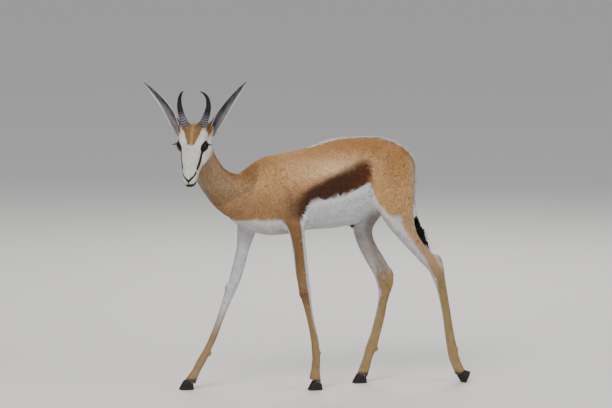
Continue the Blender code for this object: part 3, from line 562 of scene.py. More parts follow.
def body_colours(points, ways):
    x, y, z = in_body(points).T
    wobble = waver(points, 0.05, 1) * 0.004 + waver(points, 0.013, 2) * 0.0015
    forward, outward, hind, _ = leg_places(points)
    around = neck_places(points)[1]
    neck = on_neck(points)
    colours = np.tile(TAN, (len(points), 1))
    saddle = (0.745 - 0.055 * step(x, 0.20, 0.14) - 0.065 * step(-x, 0.12, 0.12)
              + 0.01 * waver(points, 0.2, 3))
    colours = lay(colours, step(z, saddle, 0.085), CINNAMON)
    # The paler blob on the upper flank above the stripe is a painted highlight where the light falls on the
    # barrel.
    flank_highlight = blob((x - 0.07) / 0.12, (z - 0.702 - 0.10 * (x - 0.05)) / 0.034)
    colours = lay(colours, 0.80 * flank_highlight, FLANK_HIGHLIGHT_TAN)
    colours = lay(colours, neck * 0.9, NECK_TAN)
    strands = waver(np.column_stack((around * 0.15, z * 0.05, x * 0.05)), 0.006, 4)
    grey = np.clip(0.22 + 0.30 * strands, 0, 0.6) * step(-around, -0.8, 0.2)
    colours = lay(colours, neck * grey, NECK_GREY)
    colours = lay(colours, neck * step(around, 0.76, 0.30), NAPE)
    colours = lay(colours, neck * step(-around, -0.08, 0.12) * 0.40, WHITE * 0.8)
    low_breast = step(-z, -0.64, 0.12) * step(-x, -0.02, 0.1)
    colours = lay(colours, 0.38 * low_breast, DARK_BROWN_AND_SHADE)
    breast = blob((x + 0.205) / 0.06, (z - 0.59) / 0.05)
    colours = lay(colours, 0.30 * breast, DARK_BROWN_AND_SHADE)
    # The dark brown blob behind the elbow is painted shade.
    elbow_shade = blob((x + 0.058) / 0.044, (z - 0.572) / 0.050)
    colours = lay(colours, 1.25 * elbow_shade, DARK_BROWN_AND_SHADE * 0.92)

    top = height_at(x, STRIPE_TOP) + wobble * 0.6
    under = height_at(x, BELLY_TOP)
    along = step(x, -0.052, 0.045) * step(-x, -0.190, 0.020)
    stripe = step(top - z, 0.008, 0.030) * along * step(z, under - 0.004, 0.006)
    colours = lay(colours, stripe, CHOCOLATE)
    colours = lay(colours, stripe * step(x, 0.12, 0.08) * 0.6, CHOCOLATE * (1.9, 1.3, 1.3))

    radius = np.hypot(forward, outward)
    limb = step(-z, -0.545, 0.03) * step(-radius, -1.30, 0.25)
    below = step(under - z, 0.0, 0.006)
    belly = below * (x > -0.035) * (x < 0.19) * (z > 0.44)
    brisket = step(0.544 - z + 0.5 * wobble, 0.0, 0.006) * (x <= -0.035) * (z > 0.44)
    brisket *= 1 - step(x, -0.098, 0.02) * (np.abs(y) > 0.042)
    thigh_edge = hind * below * step(z, 0.46, 0.03) * step(-x, -0.335, 0.02)
    colours = lay(colours, np.maximum(np.maximum(belly, brisket), thigh_edge), WHITE)
    groin = step(-np.abs(ways[:, 1]), -0.35, 0.3) * step(-z, -0.58, 0.05) * step(x, -0.03, 0.03)
    colours = lay(colours, groin * step(-x, -0.31, 0.03) * (z > 0.46), WHITE)
    tip = blob((x - 0.150) / 0.010, y / 0.012) * step(-z, -0.520, 0.01)
    colours = lay(colours, tip, SOOT * 2)

    inside = step(-outward, 0.02, 0.42)
    low_leg = step(-z, -0.37, 0.10)
    fore = lay(np.tile(FORE_TAN, (len(points), 1)), low_leg * 0.7, SHANK)
    fore = lay(fore, 0.8 * blob((z - 0.30) / 0.035), DARK_BROWN_AND_SHADE)
    back_edge = step(-forward, 0.34, 0.22)
    front_edge = step(forward, 0.60, 0.2) * step(-outward, -0.25, 0.3) * step(z, 0.38, 0.06)
    edges = np.maximum(np.maximum(inside, back_edge), front_edge)
    fore = lay(fore, edges * (0.05 + 0.95 * step(z, 0.22, 0.12)), WHITE)
    rear = lay(np.tile(TAN * 0.60 + NECK_GREY * 0.30, (len(points), 1)), low_leg, SHANK)
    # The inside of the hind legs is white. It is laid at about half brightness and greyer to the rear, which
    # is painted shade.
    shaded_inner_thigh = inside * (1 - low_leg)
    rear = lay(rear, shaded_inner_thigh, WHITE * 0.54)
    rear = lay(rear, shaded_inner_thigh * step(-forward, 0.05, 0.5) * 0.8, INNER_SHADE_GREY)
    front_part = step(forward, np.interp(z, (0.12, 0.34, 0.40, 0.50), (0.85, 0.60, 0.30, 0.10)), 0.3)
    rear = lay(rear, front_part * (0.15 + 0.85 * step(z, 0.24, 0.12)), WHITE * 0.95)
    rear = lay(rear, 0.6 * step(-forward, 0.80, 0.2) * step(z, 0.36, 0.04), WHITE * 0.9)
    # A grey band on the inside above the hock is painted shade.
    inner_shank_shade = step(-outward, 0.1, 0.3) * step(-z, -0.50, 0.06) * (1 - low_leg)
    rear = lay(rear, 0.6 * inner_shank_shade, INNER_SHADE_GREY * 0.9)
    legs = np.where(hind[:, None], rear, fore)
    colours = colours + (legs - colours) * (limb * (1 - belly * (np.abs(y) < 0.035)))[:, None]
    spot = blob((x - 0.345) / 0.006, (z - 0.463) / 0.0035)
    colours = lay(colours, 0.8 * spot * (outward > 0), DARK_BROWN_AND_SHADE * 0.5)

    patch_half = np.interp(z, (0.50, 0.56, 0.66, 0.72, 0.745), (0.020, 0.036, 0.036, 0.022, 0.008))
    edge = step(ways[:, 0], 0.45, 0.4) * (x > 0.29) * (z > 0.50) * step(-z, -0.73, 0.03)
    colours = lay(colours, 0.55 * edge, NECK_GREY)
    behind = step(ways[:, 0], -0.05, 0.25) * (x > 0.27)
    rim = blob((np.abs(y) - patch_half - 0.006) / 0.005) * (z > 0.52) * (z < 0.75)
    colours = lay(colours, 0.6 * rim * behind, DARK_BROWN_AND_SHADE)
    colours = lay(colours, step(patch_half - np.abs(y) + wobble, 0.0, 0.006) * behind * (z > 0.50), WHITE)
    spine = np.exp(-(np.abs(y) / 0.006) ** 4) * step(x, 0.02, 0.02) * step(z, 0.745, 0.02)
    colours = lay(colours, spine * 0.9, WHITE * 1.1)
    in_tail = (x > 0.345) * (z < 0.69) * (np.abs(y - 0.009) < 0.03) * (z > 0.36)
    colours = lay(colours, in_tail * 1.0, WHITE)
    colours = lay(colours, in_tail * step(-z, -0.530, 0.015), SOOT)

    dewclaw = step(-forward, 0.95, 0.15) * (z < 0.100) * (z > 0.055)
    colours = lay(colours, dewclaw, SOOT)
    coronet = step(-z, -0.036, 0.006)
    return lay(colours, coronet * 0.8, SOOT * 2)


# %% Colours of the head
FINAL_SKIN = BVHTree.FromObject(skin, bpy.context.evaluated_depsgraph_get())
CHEEK_STRIPE = laid(((0.1060, 0.0360, -0.0270), (0.1200, 0.0325, -0.0275), (0.1350, 0.0310, -0.0320),
                     (0.1520, 0.0280, -0.0350), (0.1690, 0.0235, -0.0360)), FINAL_SKIN)
NOSTRIL = laid(((0.2115, 0.0000, -0.0400), (0.2046, 0.0090, -0.0370), (0.1930, 0.0170, -0.0365),
                (0.1810, 0.0195, -0.0350)), FINAL_SKIN)
MOUTH = laid(((0.2190, 0.0000, -0.0530), (0.2150, 0.0080, -0.0545), (0.2080, 0.0150, -0.0560),
              (0.1980, 0.0210, -0.0570), (0.1900, 0.0220, -0.0590)), FINAL_SKIN)
TEMPLE = laid(((0.0290, 0.0420, -0.0160), (0.0400, 0.0440, -0.0240), (0.0480, 0.0445, -0.0340),
               (0.0565, 0.0440, -0.0500)), FINAL_SKIN)


def head_colours(points):
    x, y, z = in_head(points).T
    side = np.abs(y)
    face = np.column_stack((x, side, z))
    wobble = waver(points, 0.012, 5) * 0.0012
    colours = np.tile(FACE_WHITE, (len(points), 1))
    colours = lay(colours, 0.30 + 0.30 * waver(points, 0.02, 6), FACE_WHITE * (0.80, 0.80, 0.84))
    colours = lay(colours, 0.7 * step(x, 0.17, 0.04), FACE_WHITE * (0.92, 0.88, 0.80))
    crown = step(-x, -0.018 + wobble, 0.014) * step(z, -0.075, 0.02)
    colours = lay(colours, crown, NAPE * 1.25)
    rear = step(0.030 + 0.25 * (z + 0.05) + wobble - x, 0.0, 0.02)
    colours = lay(colours, rear, NECK_TAN)
    colours = lay(colours, rear * step(z, -0.085, 0.04), NAPE * 1.1)
    behind = np.interp(z, (-0.058, -0.050, -0.034, -0.024, -0.016), (-0.02, 0.0545, 0.047, 0.040, 0.029))
    colours = lay(colours, step(behind - x, 0.0, 0.006) * step(side, 0.032, 0.006), NAPE * 0.9)
    away = near_line(face, TEMPLE)[0]
    colours = lay(colours, 0.9 * step(0.0080 - away + wobble, 0, 0.005), NAPE * 0.7)
    half = np.interp(x, (0.028, 0.0435, 0.060, 0.0855, 0.097, 0.102),
                     (0.033, 0.0315, 0.0255, 0.0155, 0.0115, 0.0075))
    patch = step(half - side + wobble, 0.0, 0.003) * step(-x, -0.102, 0.006) * step(z, -0.03, 0.01)
    colours = lay(colours, patch, FOREHEAD)
    colours = lay(colours, patch * blob(side / 0.0050) * 0.75, STREAK)
    fleck = 0.5 + 0.5 * waver(np.column_stack((side, x * 0.08, z * 0)), 0.004, 7)
    colours = lay(colours, patch * np.clip(fleck, 0, 1) * 0.50, STREAK)
    # The side of the jaw is laid brighter than the face's white, painted light that lifts the shade it gets.
    jaw_painted_light = step(side, 0.030, 0.010) * step(-x, -0.14, 0.03) * step(-z, 0.035, 0.02)
    colours = lay(colours, 0.8 * jaw_painted_light, FACE_WHITE * 1.45)
    away, share = near_line(face, CHEEK_STRIPE)
    width = 0.0040 + 0.0022 * np.sin(np.clip(share, 0, 1) * math.pi)
    colours = lay(colours, step(width - away + wobble * 0.4, 0, 0.0018), CHOCOLATE * 0.6)
    colours = lay(colours, step(0.0037 - near_line(face, NOSTRIL)[0], 0, 0.0014), SOOT * 0.7)
    turned = np.abs(y - 0.006)
    away = near_line(np.column_stack((x, turned, z)), MOUTH)[0]
    colours = lay(colours, step(0.0030 - away, 0, 0.0016), SOOT)
    lower_lip = (step(0.016 - turned, 0, 0.004) * step(x, 0.196, 0.004)
                 * np.exp(-((z + 0.0580) / 0.0070) ** 4))
    colours = lay(colours, lower_lip, SOOT * 2)
    split = np.exp(-(side / 0.0018) ** 4) * step(x, 0.206, 0.003) * (z > -0.056)
    colours = lay(colours, split * step(-z, 0.040, 0.003), SOOT)
    for _, sign in SIDES:
        centre, axis, across, down = eye_frame(sign)
        rel = points - np.array(centre)
        u, v = rel @ np.array(across) / EYE_HALF[0], rel @ np.array(down) / EYE_HALF[1]
        front = (rel @ np.array(axis)) > 0.004
        colours = lay(colours, step(1.26 - np.hypot(u, v), 0, 0.14) * front, SOOT * 1.5)
    return colours


def coat_colours(points, ways):
    head = on_head(points, 0.014)[:, None]
    colours = body_colours(points, ways) * (1 - head) + head_colours(points) * head
    blotch = 1 + 0.05 * waver(points, 0.03, 8) + 0.04 * waver(points, 0.008, 9)
    return np.clip(colours * blotch[:, None], 0, 1)


def paint(obj, colours):
    """Stores the coat's colour on the points of a mesh."""
    layer = obj.data.color_attributes.new("coat", "FLOAT_COLOR", "POINT")
    rgba = np.column_stack((colours, np.ones(len(colours))))
    layer.data.foreach_set("color", rgba.astype(np.float32).ravel())


paint(skin, coat_colours(points_of(skin), normals_of(skin)))
print("coat is painted")

# %% [markdown]
# ## Materials
# Shader maths is written as plain expressions. A small class wraps a socket, so that a line such as
# `1 - mask * 0.5` adds its Math nodes. One method makes every other kind of node.

# %% The wire class


class Wire:
    """A socket whose values can be added, taken away and multiplied."""

    def __init__(self, tree, socket):
        self.tree, self.socket = tree, socket

    def node(self, kind, settings=(), output=0, **inputs):
        made = self.tree.nodes.new(kind)
        for name, value in dict(settings).items():
            if name == "stops":
                while len(made.color_ramp.elements) < len(value):
                    made.color_ramp.elements.new(0.5)
                for stop, (place, colour) in zip(made.color_ramp.elements, value):
                    stop.position, stop.color = place, (*colour, 1)
            else:
                setattr(made, name, value)
        for name, value in inputs.items():
            socket = made.inputs[int(name[1:]) if name[1:].isdigit() else name.replace("_", " ")]
            if isinstance(value, Wire):
                self.tree.links.new(value.socket, socket)
            else:
                socket.default_value = value
        return Wire(self.tree, made.outputs[output])

    def math(self, operation, first, second):
        return self.node("ShaderNodeMath", {"operation": operation}, i0=first, i1=second)

    def __add__(self, other):
        return self.math("ADD", self, other)

    def __radd__(self, other):
        return self.math("ADD", other, self)

    def __sub__(self, other):
        return self.math("SUBTRACT", self, other)

    def __rsub__(self, other):
        return self.math("SUBTRACT", other, self)

    def __mul__(self, other):
        return self.math("MULTIPLY", self, other)

    def __rmul__(self, other):
        return self.math("MULTIPLY", other, self)


def finish_named(name, roughness, **constants):
    """A new material: its shader, and a wire to start expressions from."""
    material = bpy.data.materials.new(name)
    material.use_nodes = True
    shader = material.node_tree.nodes["Principled BSDF"]
    shader.inputs["Roughness"].default_value = roughness
    for socket, value in constants.items():
        shader.inputs[socket.replace("_", " ")].default_value = value
    return material, shader, Wire(material.node_tree, None)


def plug(wire, shader, name):
    wire.tree.links.new(wire.socket, shader.inputs[name])


def painted_finish(name, roughness, shine):
    """A material for painted pieces, with wires of the place and of the painted colour."""
    material, shader, w = finish_named(name, roughness, Specular_IOR_Level=shine)
    place = w.node("ShaderNodeTexCoord", output="Object")
    colour = w.node("ShaderNodeAttribute", {"attribute_name": "coat"}, output="Color")
    return material, shader, w, place, colour


def tint(shader, colour, strength):
    """Gives a shader a colour that is darkened or lightened by a wire."""
    tinted = colour.node("ShaderNodeVectorMath", {"operation": "SCALE"}, Vector=colour, Scale=strength)
    plug(tinted, shader, "Base Color")


def wear(obj, material):
    obj.data.materials.clear()
    obj.data.materials.append(material)


print("wire is ready")

# %% [markdown]
# ## The finish of the coat
# Skin and tufts carry their colour as an attribute. Fine noise breaks it up as single hairs do, and a
# bump of the same noise roughens the skin between the tufts.

# %% Coat material
coat, shader, w, place, colour = painted_finish("short_coat", 0.80, 0.15)
grain = w.node("ShaderNodeTexNoise", Vector=place, Scale=900.0, Detail=3.0, Roughness=0.6)
patchy = w.node("ShaderNodeTexNoise", Vector=place, Scale=60.0, Detail=2.0)
tint(shader, colour, 0.72 + 0.34 * grain + 0.22 * patchy)
plug(w.node("ShaderNodeBump", Strength=0.35, Distance=0.0008, Height=grain), shader, "Normal")
wear(skin, coat)

lock_coat, shader, w, place, colour = painted_finish("tufts_of_hair", 0.68, 0.20)
grain = w.node("ShaderNodeTexNoise", Vector=place, Scale=1400.0, Detail=2.0)
tint(shader, colour, 0.80 + 0.4 * grain)

ground, shader, w = finish_named("pale_floor", 0.9)
shader.inputs["Base Color"].default_value = (0.62, 0.61, 0.59, 1)
wear(floor, ground)
print("coat materials are ready")

# %% [markdown]
# ## The skin's unwrap
# Each tuft takes its place in the picture of the coat from the skin under its root, so the skin is
# unwrapped first, into patches that are nearly flat.

# %% Unwrap the skin
with edit_mode(skin):
    bpy.ops.mesh.select_all(action="SELECT")
    bpy.ops.uv.smart_project(angle_limit=math.radians(66), island_margin=0.001)
skin.data.uv_layers[0].name = "OFBake"
corners = read(skin.data.loops, "vertex_index", kind=np.int32).reshape(-1, 3)
unwrap = read(skin.data.uv_layers[0].data, "uv", 2).reshape(-1, 3, 2)
skin_points, skin_ways = points_of(skin), normals_of(skin)
areas = read(skin.data.polygons, "area")
print("unwrapped", round(float(areas.sum()), 2), "square metres")

# %% [markdown]
# ## The lie of the coat
# Hair grows away from the nose: up the face, down the neck, back along the trunk and down the legs.
# The lie is worked out for any place, and is turned into the skin's own plane there.

# %% Lie of the coat


def lie_of(points, ways):
    x, _, z = in_body(points).T
    slant = leg_places(points)[3]
    zeros, ones = np.zeros(len(points)), np.ones(len(points))
    lie = np.column_stack((ones, zeros, -0.25 - 0.5 * step(x, 0.20, 0.2)))
    rear = step(x, 0.26, 0.10)[:, None]
    lie = lie * (1 - rear) + np.array((0.30, 0.0, -1.0)) * rear
    neck = on_neck(points)[:, None]
    lie = lie * (1 - neck) + (neck_places(points)[0] + np.array((0.1, 0, -0.35))) * neck
    leg = step(-z, -0.53, 0.12)[:, None]
    down = np.column_stack((-slant, zeros, -ones))
    lie = lie * (1 - leg) + down * leg
    face = in_head(points)
    up_face = -np.array(to_nose) + 0.25 * np.sign(face[:, 1:2]) * np.array(to_left) - 0.3 * step(
        -face[:, 2:3], 0.05, 0.03) * np.array(to_brow)
    head = on_head(points)[:, None]
    lie = lie * (1 - head) + up_face * head
    return unit(lie - ways * dot(lie, ways))


print("lie is ready")

# %% [markdown]
# ## One tuft
# A tuft is modelled once: a three-sided cone, pressed flat, with its tip drawn out. All others are
# copies of its seven points, each set on its own root, turned to the lie and bent over. A long lock is
# made the same way with more levels, so that it can bend along its length.

# %% Model a tuft and a long lock


def model_tuft(levels):
    """A three-sided form one unit long, drawn out to a tip: its points and its faces."""
    rise = 1 / (levels + 1)
    bpy.ops.mesh.primitive_cone_add(vertices=3, radius1=0.5, radius2=0.5, depth=rise, end_fill_type="NGON")
    form = bpy.context.object
    for level in range(levels):
        top = max(face.center.z for face in form.data.polygons)
        for face in form.data.polygons:
            face.select = face.center.z > top - 0.001
        with edit_mode(form):
            bpy.ops.mesh.extrude_region_move(TRANSFORM_OT_translate={"value": (0, 0, rise)})
            if level < levels - 1:
                bpy.ops.transform.resize(value=(0.85, 0.85, 1))
            else:
                bpy.ops.mesh.merge(type="CENTER")
    with edit_mode(form):
        bpy.ops.mesh.select_all(action="SELECT")
        bpy.ops.mesh.normals_make_consistent(inside=False)
    spots, faces = points_of(form), [tuple(face.vertices) for face in form.data.polygons]
    bpy.data.objects.remove(form)
    return spots + (0, 0, rise / 2), faces


ROOT_DEPTH = 0.0008
TUFT, LOCK = model_tuft(1), model_tuft(5)
print("a tuft has", len(TUFT[0]), "points, a lock", len(LOCK[0]), "up to", round(LOCK[0][:, 2].max(), 2))

# %% Plant tufts


def plant(name, roots, ways, lies, uvs, colours, lengths, widths, thick, rise, seed, form=TUFT, sag=0.0):
    """One mesh of tufts: each is its template, scaled, bent from rising to lying, on its root."""
    draw = np.random.default_rng(seed)
    spots, faces = form
    count = len(roots)
    turn = draw.normal(0, 0.07, count)
    sides = np.cross(ways, lies)
    lies = lies * np.cos(turn)[:, None] + sides * np.sin(turn)[:, None]
    sides = np.cross(ways, lies)
    lengths = lengths * draw.uniform(0.75, 1.25, count)
    lift = rise * draw.uniform(0.5, 1.5, count)
    drift = draw.normal(0, 0.06, count)
    placed = np.empty((count, len(spots), 3))
    for k, (across, flat, along) in enumerate(spots):
        up = lift * lengths * (along - 0.45 * along ** 2) - ROOT_DEPTH * (along < 0.1)
        placed[:, k] = (roots + sides * (across * widths + drift * lengths * along ** 2)[:, None]
                        + lies * (along * lengths)[:, None]
                        + ways * (up + flat * thick)[:, None])
        placed[:, k, 2] -= sag * lengths * along ** 2
    sizes = np.array([len(face) for face in faces])
    pattern = np.concatenate([np.array(face) for face in faces])
    loops = (np.arange(count)[:, None] * len(spots) + pattern[None, :]).ravel()
    mesh = bpy.data.meshes.new(name)
    mesh.vertices.add(count * len(spots))
    mesh.vertices.foreach_set("co", placed.astype(np.float32).ravel())
    mesh.loops.add(len(loops))
    mesh.loops.foreach_set("vertex_index", loops.astype(np.int32))
    mesh.polygons.add(count * len(sizes))
    starts = np.concatenate(([0], np.cumsum(np.tile(sizes, count))[:-1]))
    mesh.polygons.foreach_set("loop_start", starts.astype(np.int32))
    mesh.update(calc_edges=True)
    mesh.validate()
    mesh.shade_smooth()
    patch = mesh.uv_layers.new(name="OFBake")
    spread = spots[:, [0, 2]] * 0.003
    corner_uv = uvs[:, None, :] + spread[None, pattern, :]
    patch.data.foreach_set("uv", corner_uv.astype(np.float32).ravel())
    shade = draw.normal(1.0, 0.045, count)[:, None, None]
    tone = (0.88 + 0.17 * spots[:, 2])[None, :, None]
    piece = bpy.data.objects.new(name, mesh)
    bpy.context.scene.collection.objects.link(piece)
    paint(piece, np.clip(colours[:, None, :] * shade * tone, 0, 1).reshape(-1, 3))
    wear(piece, lock_coat)
    return piece


def sow(weights, count, seed):
    """Picks roots on the skin: more where the weights of its triangles are higher."""
    count = count
    draw = np.random.default_rng(seed)
    chance = weights * areas
    chosen = draw.choice(len(areas), count, p=chance / chance.sum())
    a, b = draw.random(count), draw.random(count)
    over = a + b > 1
    a[over], b[over] = 1 - a[over], 1 - b[over]
    mix = np.column_stack((1 - a - b, a, b))
    at = corners[chosen]
    roots = (skin_points[at] * mix[:, :, None]).sum(1)
    ways = (skin_ways[at] * mix[:, :, None]).sum(1)
    ways /= np.linalg.norm(ways, axis=1)[:, None]
    uvs = (unwrap[chosen] * mix[:, :, None]).sum(1)
    return roots, ways, uvs


print("ready to plant")

# %% [markdown]
# ## Short fur
# The coat is short and flat everywhere, about twelve millimetres on the trunk and five on the face.
# Each zone is planted on its own, so that no piece passes two hundred thousand triangles.

# %% Plant the short fur
middle = skin_points[corners].mean(1)
head_share = on_head(middle)
bx, by, bz = in_body(middle).T
zone_leg = (bz < 0.47) & (head_share < 0.5)
zone_neck = (on_neck(middle) > 0.5) & (head_share <= 0.5)
zone_tail = (bx > 0.352) & (bz > 0.40) & (np.abs(by - 0.011) < 0.04)
zone_trunk = ~zone_leg & ~zone_neck & (head_share <= 0.5)
ZONES = {   # name: mask, count, length, width, thickness, rise
    "trunk_left": (zone_trunk & (by < 0), 19500, 0.0115, 0.0023, 0.0008, 0.06),
    "trunk_right": (zone_trunk & (by >= 0), 19500, 0.0115, 0.0023, 0.0008, 0.06),
    "trunk_over": (zone_trunk, 19500, 0.0120, 0.0019, 0.0007, 0.09),
    "neck": (zone_neck, 19000, 0.0140, 0.0019, 0.0008, 0.11),
    "head": (head_share > 0.5, 19500, 0.0052, 0.0013, 0.0005, 0.12),
    "fore_legs": (zone_leg & (bx < 0.1), 13000, 0.0085, 0.0018, 0.0007, 0.10),
    "hind_legs": (zone_leg & (bx >= 0.1) & ~zone_tail, 15000, 0.0090, 0.0019, 0.0007, 0.10),
}
coats = []
for seed, (name, (mask, count, length, width, thick, rise)) in enumerate(ZONES.items()):
    roots, ways, uvs = sow(mask.astype(float), count, 20 + seed)
    lies = lie_of(roots, ways)
    size = np.full(len(roots), 1.0)
    if name == "head":
        eyes = np.minimum(*(np.linalg.norm(in_head(roots) - (EYE_AT.x, sign * EYE_AT.y, EYE_AT.z), axis=1)
                            for _, sign in SIDES))
        muzzle = step(in_head(roots)[:, 0], 0.16, 0.05)
        size = (1 - 0.45 * muzzle) * (0.45 + 0.55 * step(eyes, 0.026, 0.012))
    if "legs" in name:
        size = 0.6 + 0.4 * step(in_body(roots)[:, 2], 0.20, 0.3)
    flat = in_body(roots)
    from_edge = (flat[:, 2] - height_at(flat[:, 0], BELLY_TOP)) / 0.015
    size = size * (1 - 0.65 * blob(from_edge) * ("trunk" in name))
    seen = roots + lies * (0.3 * length * size)[:, None]
    tufts = plant("coat_" + name, roots, ways, lies, uvs, coat_colours(seen, ways), length * size,
                  width * np.sqrt(size), thick * size, rise, 40 + seed)
    coats.append(tufts)
    print(name, len(tufts.data.polygons), "faces")

# %% [markdown]
# ## Long hair
# The fold along the back holds long white hair, of which some stands out over the back and the rump.
# The tail ends in a thin black tuft, and a small dark tuft hangs under the belly.

# %% Plant the long hair
ridge = blob(by / 0.008) * (bz > 0.72) * (bx > 0) * (head_share < 0.5)
front_fan, rear_fan = blob((bx - 0.062) / 0.034), blob((bx - 0.258) / 0.018)
tail_end = (bx > 0.345) & (bz < 0.530) & (bz > 0.44) & (np.abs(by - 0.009) < 0.035)
LONG = {   # name: weights, count, length, width, thickness, rise, turn to the rear, colour, slot, sag
    "crest": (ridge * (0.06 + front_fan + rear_fan), 1900, 0.021, 0.0010, 0.0007, 0.13, (1, 0, 0.05),
              WHITE * 1.2, "coat", 0.0),
    "tail": (tail_end.astype(float), 420, 0.042, 0.0013, 0.0009, 0.16, (0.35, 0, -1), SOOT, "tuft", 0.05),
    "belly": (blob((bx - 0.153) / 0.005, by / 0.006) * (bz < 0.53), 90, 0.009, 0.0010, 0.0007, 0.3,
              (0.2, 0, -1), SOOT * 1.5, "coat", 0.1),
}
for seed, (name, row) in enumerate(LONG.items()):
    weights, count, length, width, thick, rise, toward, colour, slot, sag = row
    roots, ways, uvs = sow(weights, count, 70 + seed)
    lies = np.tile(np.array(toward, float), (len(roots), 1))
    lies = unit(lies - ways * dot(lies, ways) * 0.8)
    locks = plant("long_" + name, roots, ways, lies, uvs, np.tile(colour, (len(roots), 1)),
                  np.full(len(roots), length), np.full(len(roots), width), thick, rise, 80 + seed,
                  LOCK, sag)
    coats.append(locks)
    print(name, len(locks.data.polygons), "faces")

# %% [markdown]
# ## Eyes
# The springbok's eye is large and very dark, with a sideways oval pupil that is hard to see. It is a
# ball with a slightly raised, wet front. A map on it holds how far each place is from the pupil. A dark
# tube round the opening is the lid's rim, and the lashes are one thin bundle at its rear corner.

# %% Eyes
eye_finish, shader, w = finish_named("wet_eye", 0.05, Specular_IOR_Level=0.30, IOR=1.38)
look = w.node("ShaderNodeUVMap", {"uv_map": "look"})
parts = w.node("ShaderNodeSeparateXYZ", Vector=look)
look_x = Wire(w.tree, parts.socket.node.outputs[0])
look_y = Wire(w.tree, parts.socket.node.outputs[1])
pupil = w.node("ShaderNodeMath", {"operation": "SQRT"}, i0=look_x * look_x * 0.45 + look_y * look_y * 1.6)
fibres = w.node("ShaderNodeTexNoise", Vector=look, Scale=9.0, Detail=4.0)
IRIS = [(0.0, (0.002, 0.0015, 0.0015)), (0.40, (0.003, 0.002, 0.002)), (0.55, (0.014, 0.007, 0.004)),
        (0.80, (0.009, 0.005, 0.003)), (0.95, (0.003, 0.002, 0.002))]
ring = w.node("ShaderNodeValToRGB", {"stops": IRIS}, Fac=pupil + 0.05 * fibres)
plug(ring, shader, "Base Color")
rim_finish, shader, w = finish_named("eyelid_rim", 0.5, Specular_IOR_Level=0.2)
shader.inputs["Base Color"].default_value = (0.006, 0.004, 0.004, 1)
lash_finish, shader, w = finish_named("lash", 0.5)
shader.inputs["Base Color"].default_value = (0.010, 0.008, 0.007, 1)


def settle_place(obj):
    """Puts an object's place into its mesh."""
    only(obj)
    bpy.ops.object.transform_apply(location=True, rotation=True, scale=True)


def tube(name, paths, radius, sides, material, closed=False):
    """Thin tubes along paths, tapered where a path's points give a radius of their own."""
    curve = bpy.data.curves.new(name, "CURVE")
    curve.dimensions = "3D"
    curve.bevel_depth = radius
    curve.bevel_resolution = sides
    curve.use_fill_caps = not closed
    for path in paths:
        spline = curve.splines.new("POLY")
        spline.points.add(len(path) - 1)
        for point, (place, thick) in zip(spline.points, path):
            point.co = (*place, 1)
            point.radius = thick
        spline.use_cyclic_u = closed
    made = bpy.data.objects.new(name, curve)
    bpy.context.scene.collection.objects.link(made)
    only(made)
    bpy.ops.object.convert(target="MESH")
    made = bpy.context.object
    bpy.ops.object.shade_smooth()
    wear(made, material)
    return made


IRIS_HALF, RIM_POINTS, LASHES = 0.0125, 56, 12
extras = []
for side, sign in SIDES:
    centre, axis, across, down = eye_frame(sign)
    bpy.ops.mesh.primitive_uv_sphere_add(segments=48, ring_count=32, radius=EYE_RADIUS, location=centre,
                                         rotation=axis.to_track_quat("Z", "Y").to_euler())
    eye = bpy.context.object
    eye.name = "eyeball_" + side
    settle_place(eye)
    spots = points_of(eye) - np.array(centre)
    front = spots @ np.array(axis) / EYE_RADIUS
    spots += np.array(axis) * (0.0010 * step(front, 0.80, 0.25))[:, None]
    move_to(eye, spots + np.array(centre))
    bpy.ops.object.shade_smooth()
    for layer in list(eye.data.uv_layers):
        eye.data.uv_layers.remove(layer)
    layer = eye.data.uv_layers.new(name="look")
    index = read(eye.data.loops, "vertex_index", kind=np.int32)
    u = (spots @ np.array(across) / IRIS_HALF)[index]
    v = (spots @ np.array(down) / IRIS_HALF)[index]
    layer.data.foreach_set("uv", np.column_stack((u, v)).astype(np.float32).ravel())
    wear(eye, eye_finish)
    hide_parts("eye_" + side)
    extras.append(eye)
    rim = []
    for k in range(RIM_POINTS):
        a = 2 * math.pi * k / RIM_POINTS
        flat = across * (0.97 * EYE_HALF[0] * math.cos(a)) + down * (
            0.97 * EYE_HALF[1] * math.copysign(abs(math.sin(a)) ** 1.15, math.sin(a)))
        out = math.sqrt((EYE_RADIUS + 0.0008) ** 2 - flat.length_squared)
        rim.append((centre + axis * out + flat, 1.2 if math.sin(a) > 0 else 0.9))
    lid = tube("lid_" + side, [rim], 0.0017, 3, rim_finish, closed=True)
    extras.append(lid)
    lashes = []
    bend = head_axes @ Vector((-0.05, sign * 0.9, -0.05)) + axis * 0.25
    for k in range(LASHES):
        a = math.pi * (0.70 + 0.22 * k / (LASHES - 1))
        flat = across * (EYE_HALF[0] * math.cos(a)) + down * (EYE_HALF[1] * math.sin(a))
        root = centre + axis * math.sqrt((EYE_RADIUS + 0.0016) ** 2 - flat.length_squared) + flat
        if k == 0:
            goal = root + bend.normalized() * 0.0150 - down * 0.0035
        tip = goal + (root - centre) * 0.12
        lashes.append([(root.lerp(tip, j / 4) + down * (0.0012 * math.sin(math.pi * j / 4)), 1 - 0.2 * j)
                       for j in range(5)])
    lash = tube("lashes_" + side, lashes, 0.00034, 1, lash_finish)
    extras.append(lash)
print("eyes are in")

# %% [markdown]
# ## Ears
# The ears are long leaves, pale outside. Inside they are dark grey with white hair along their edges.

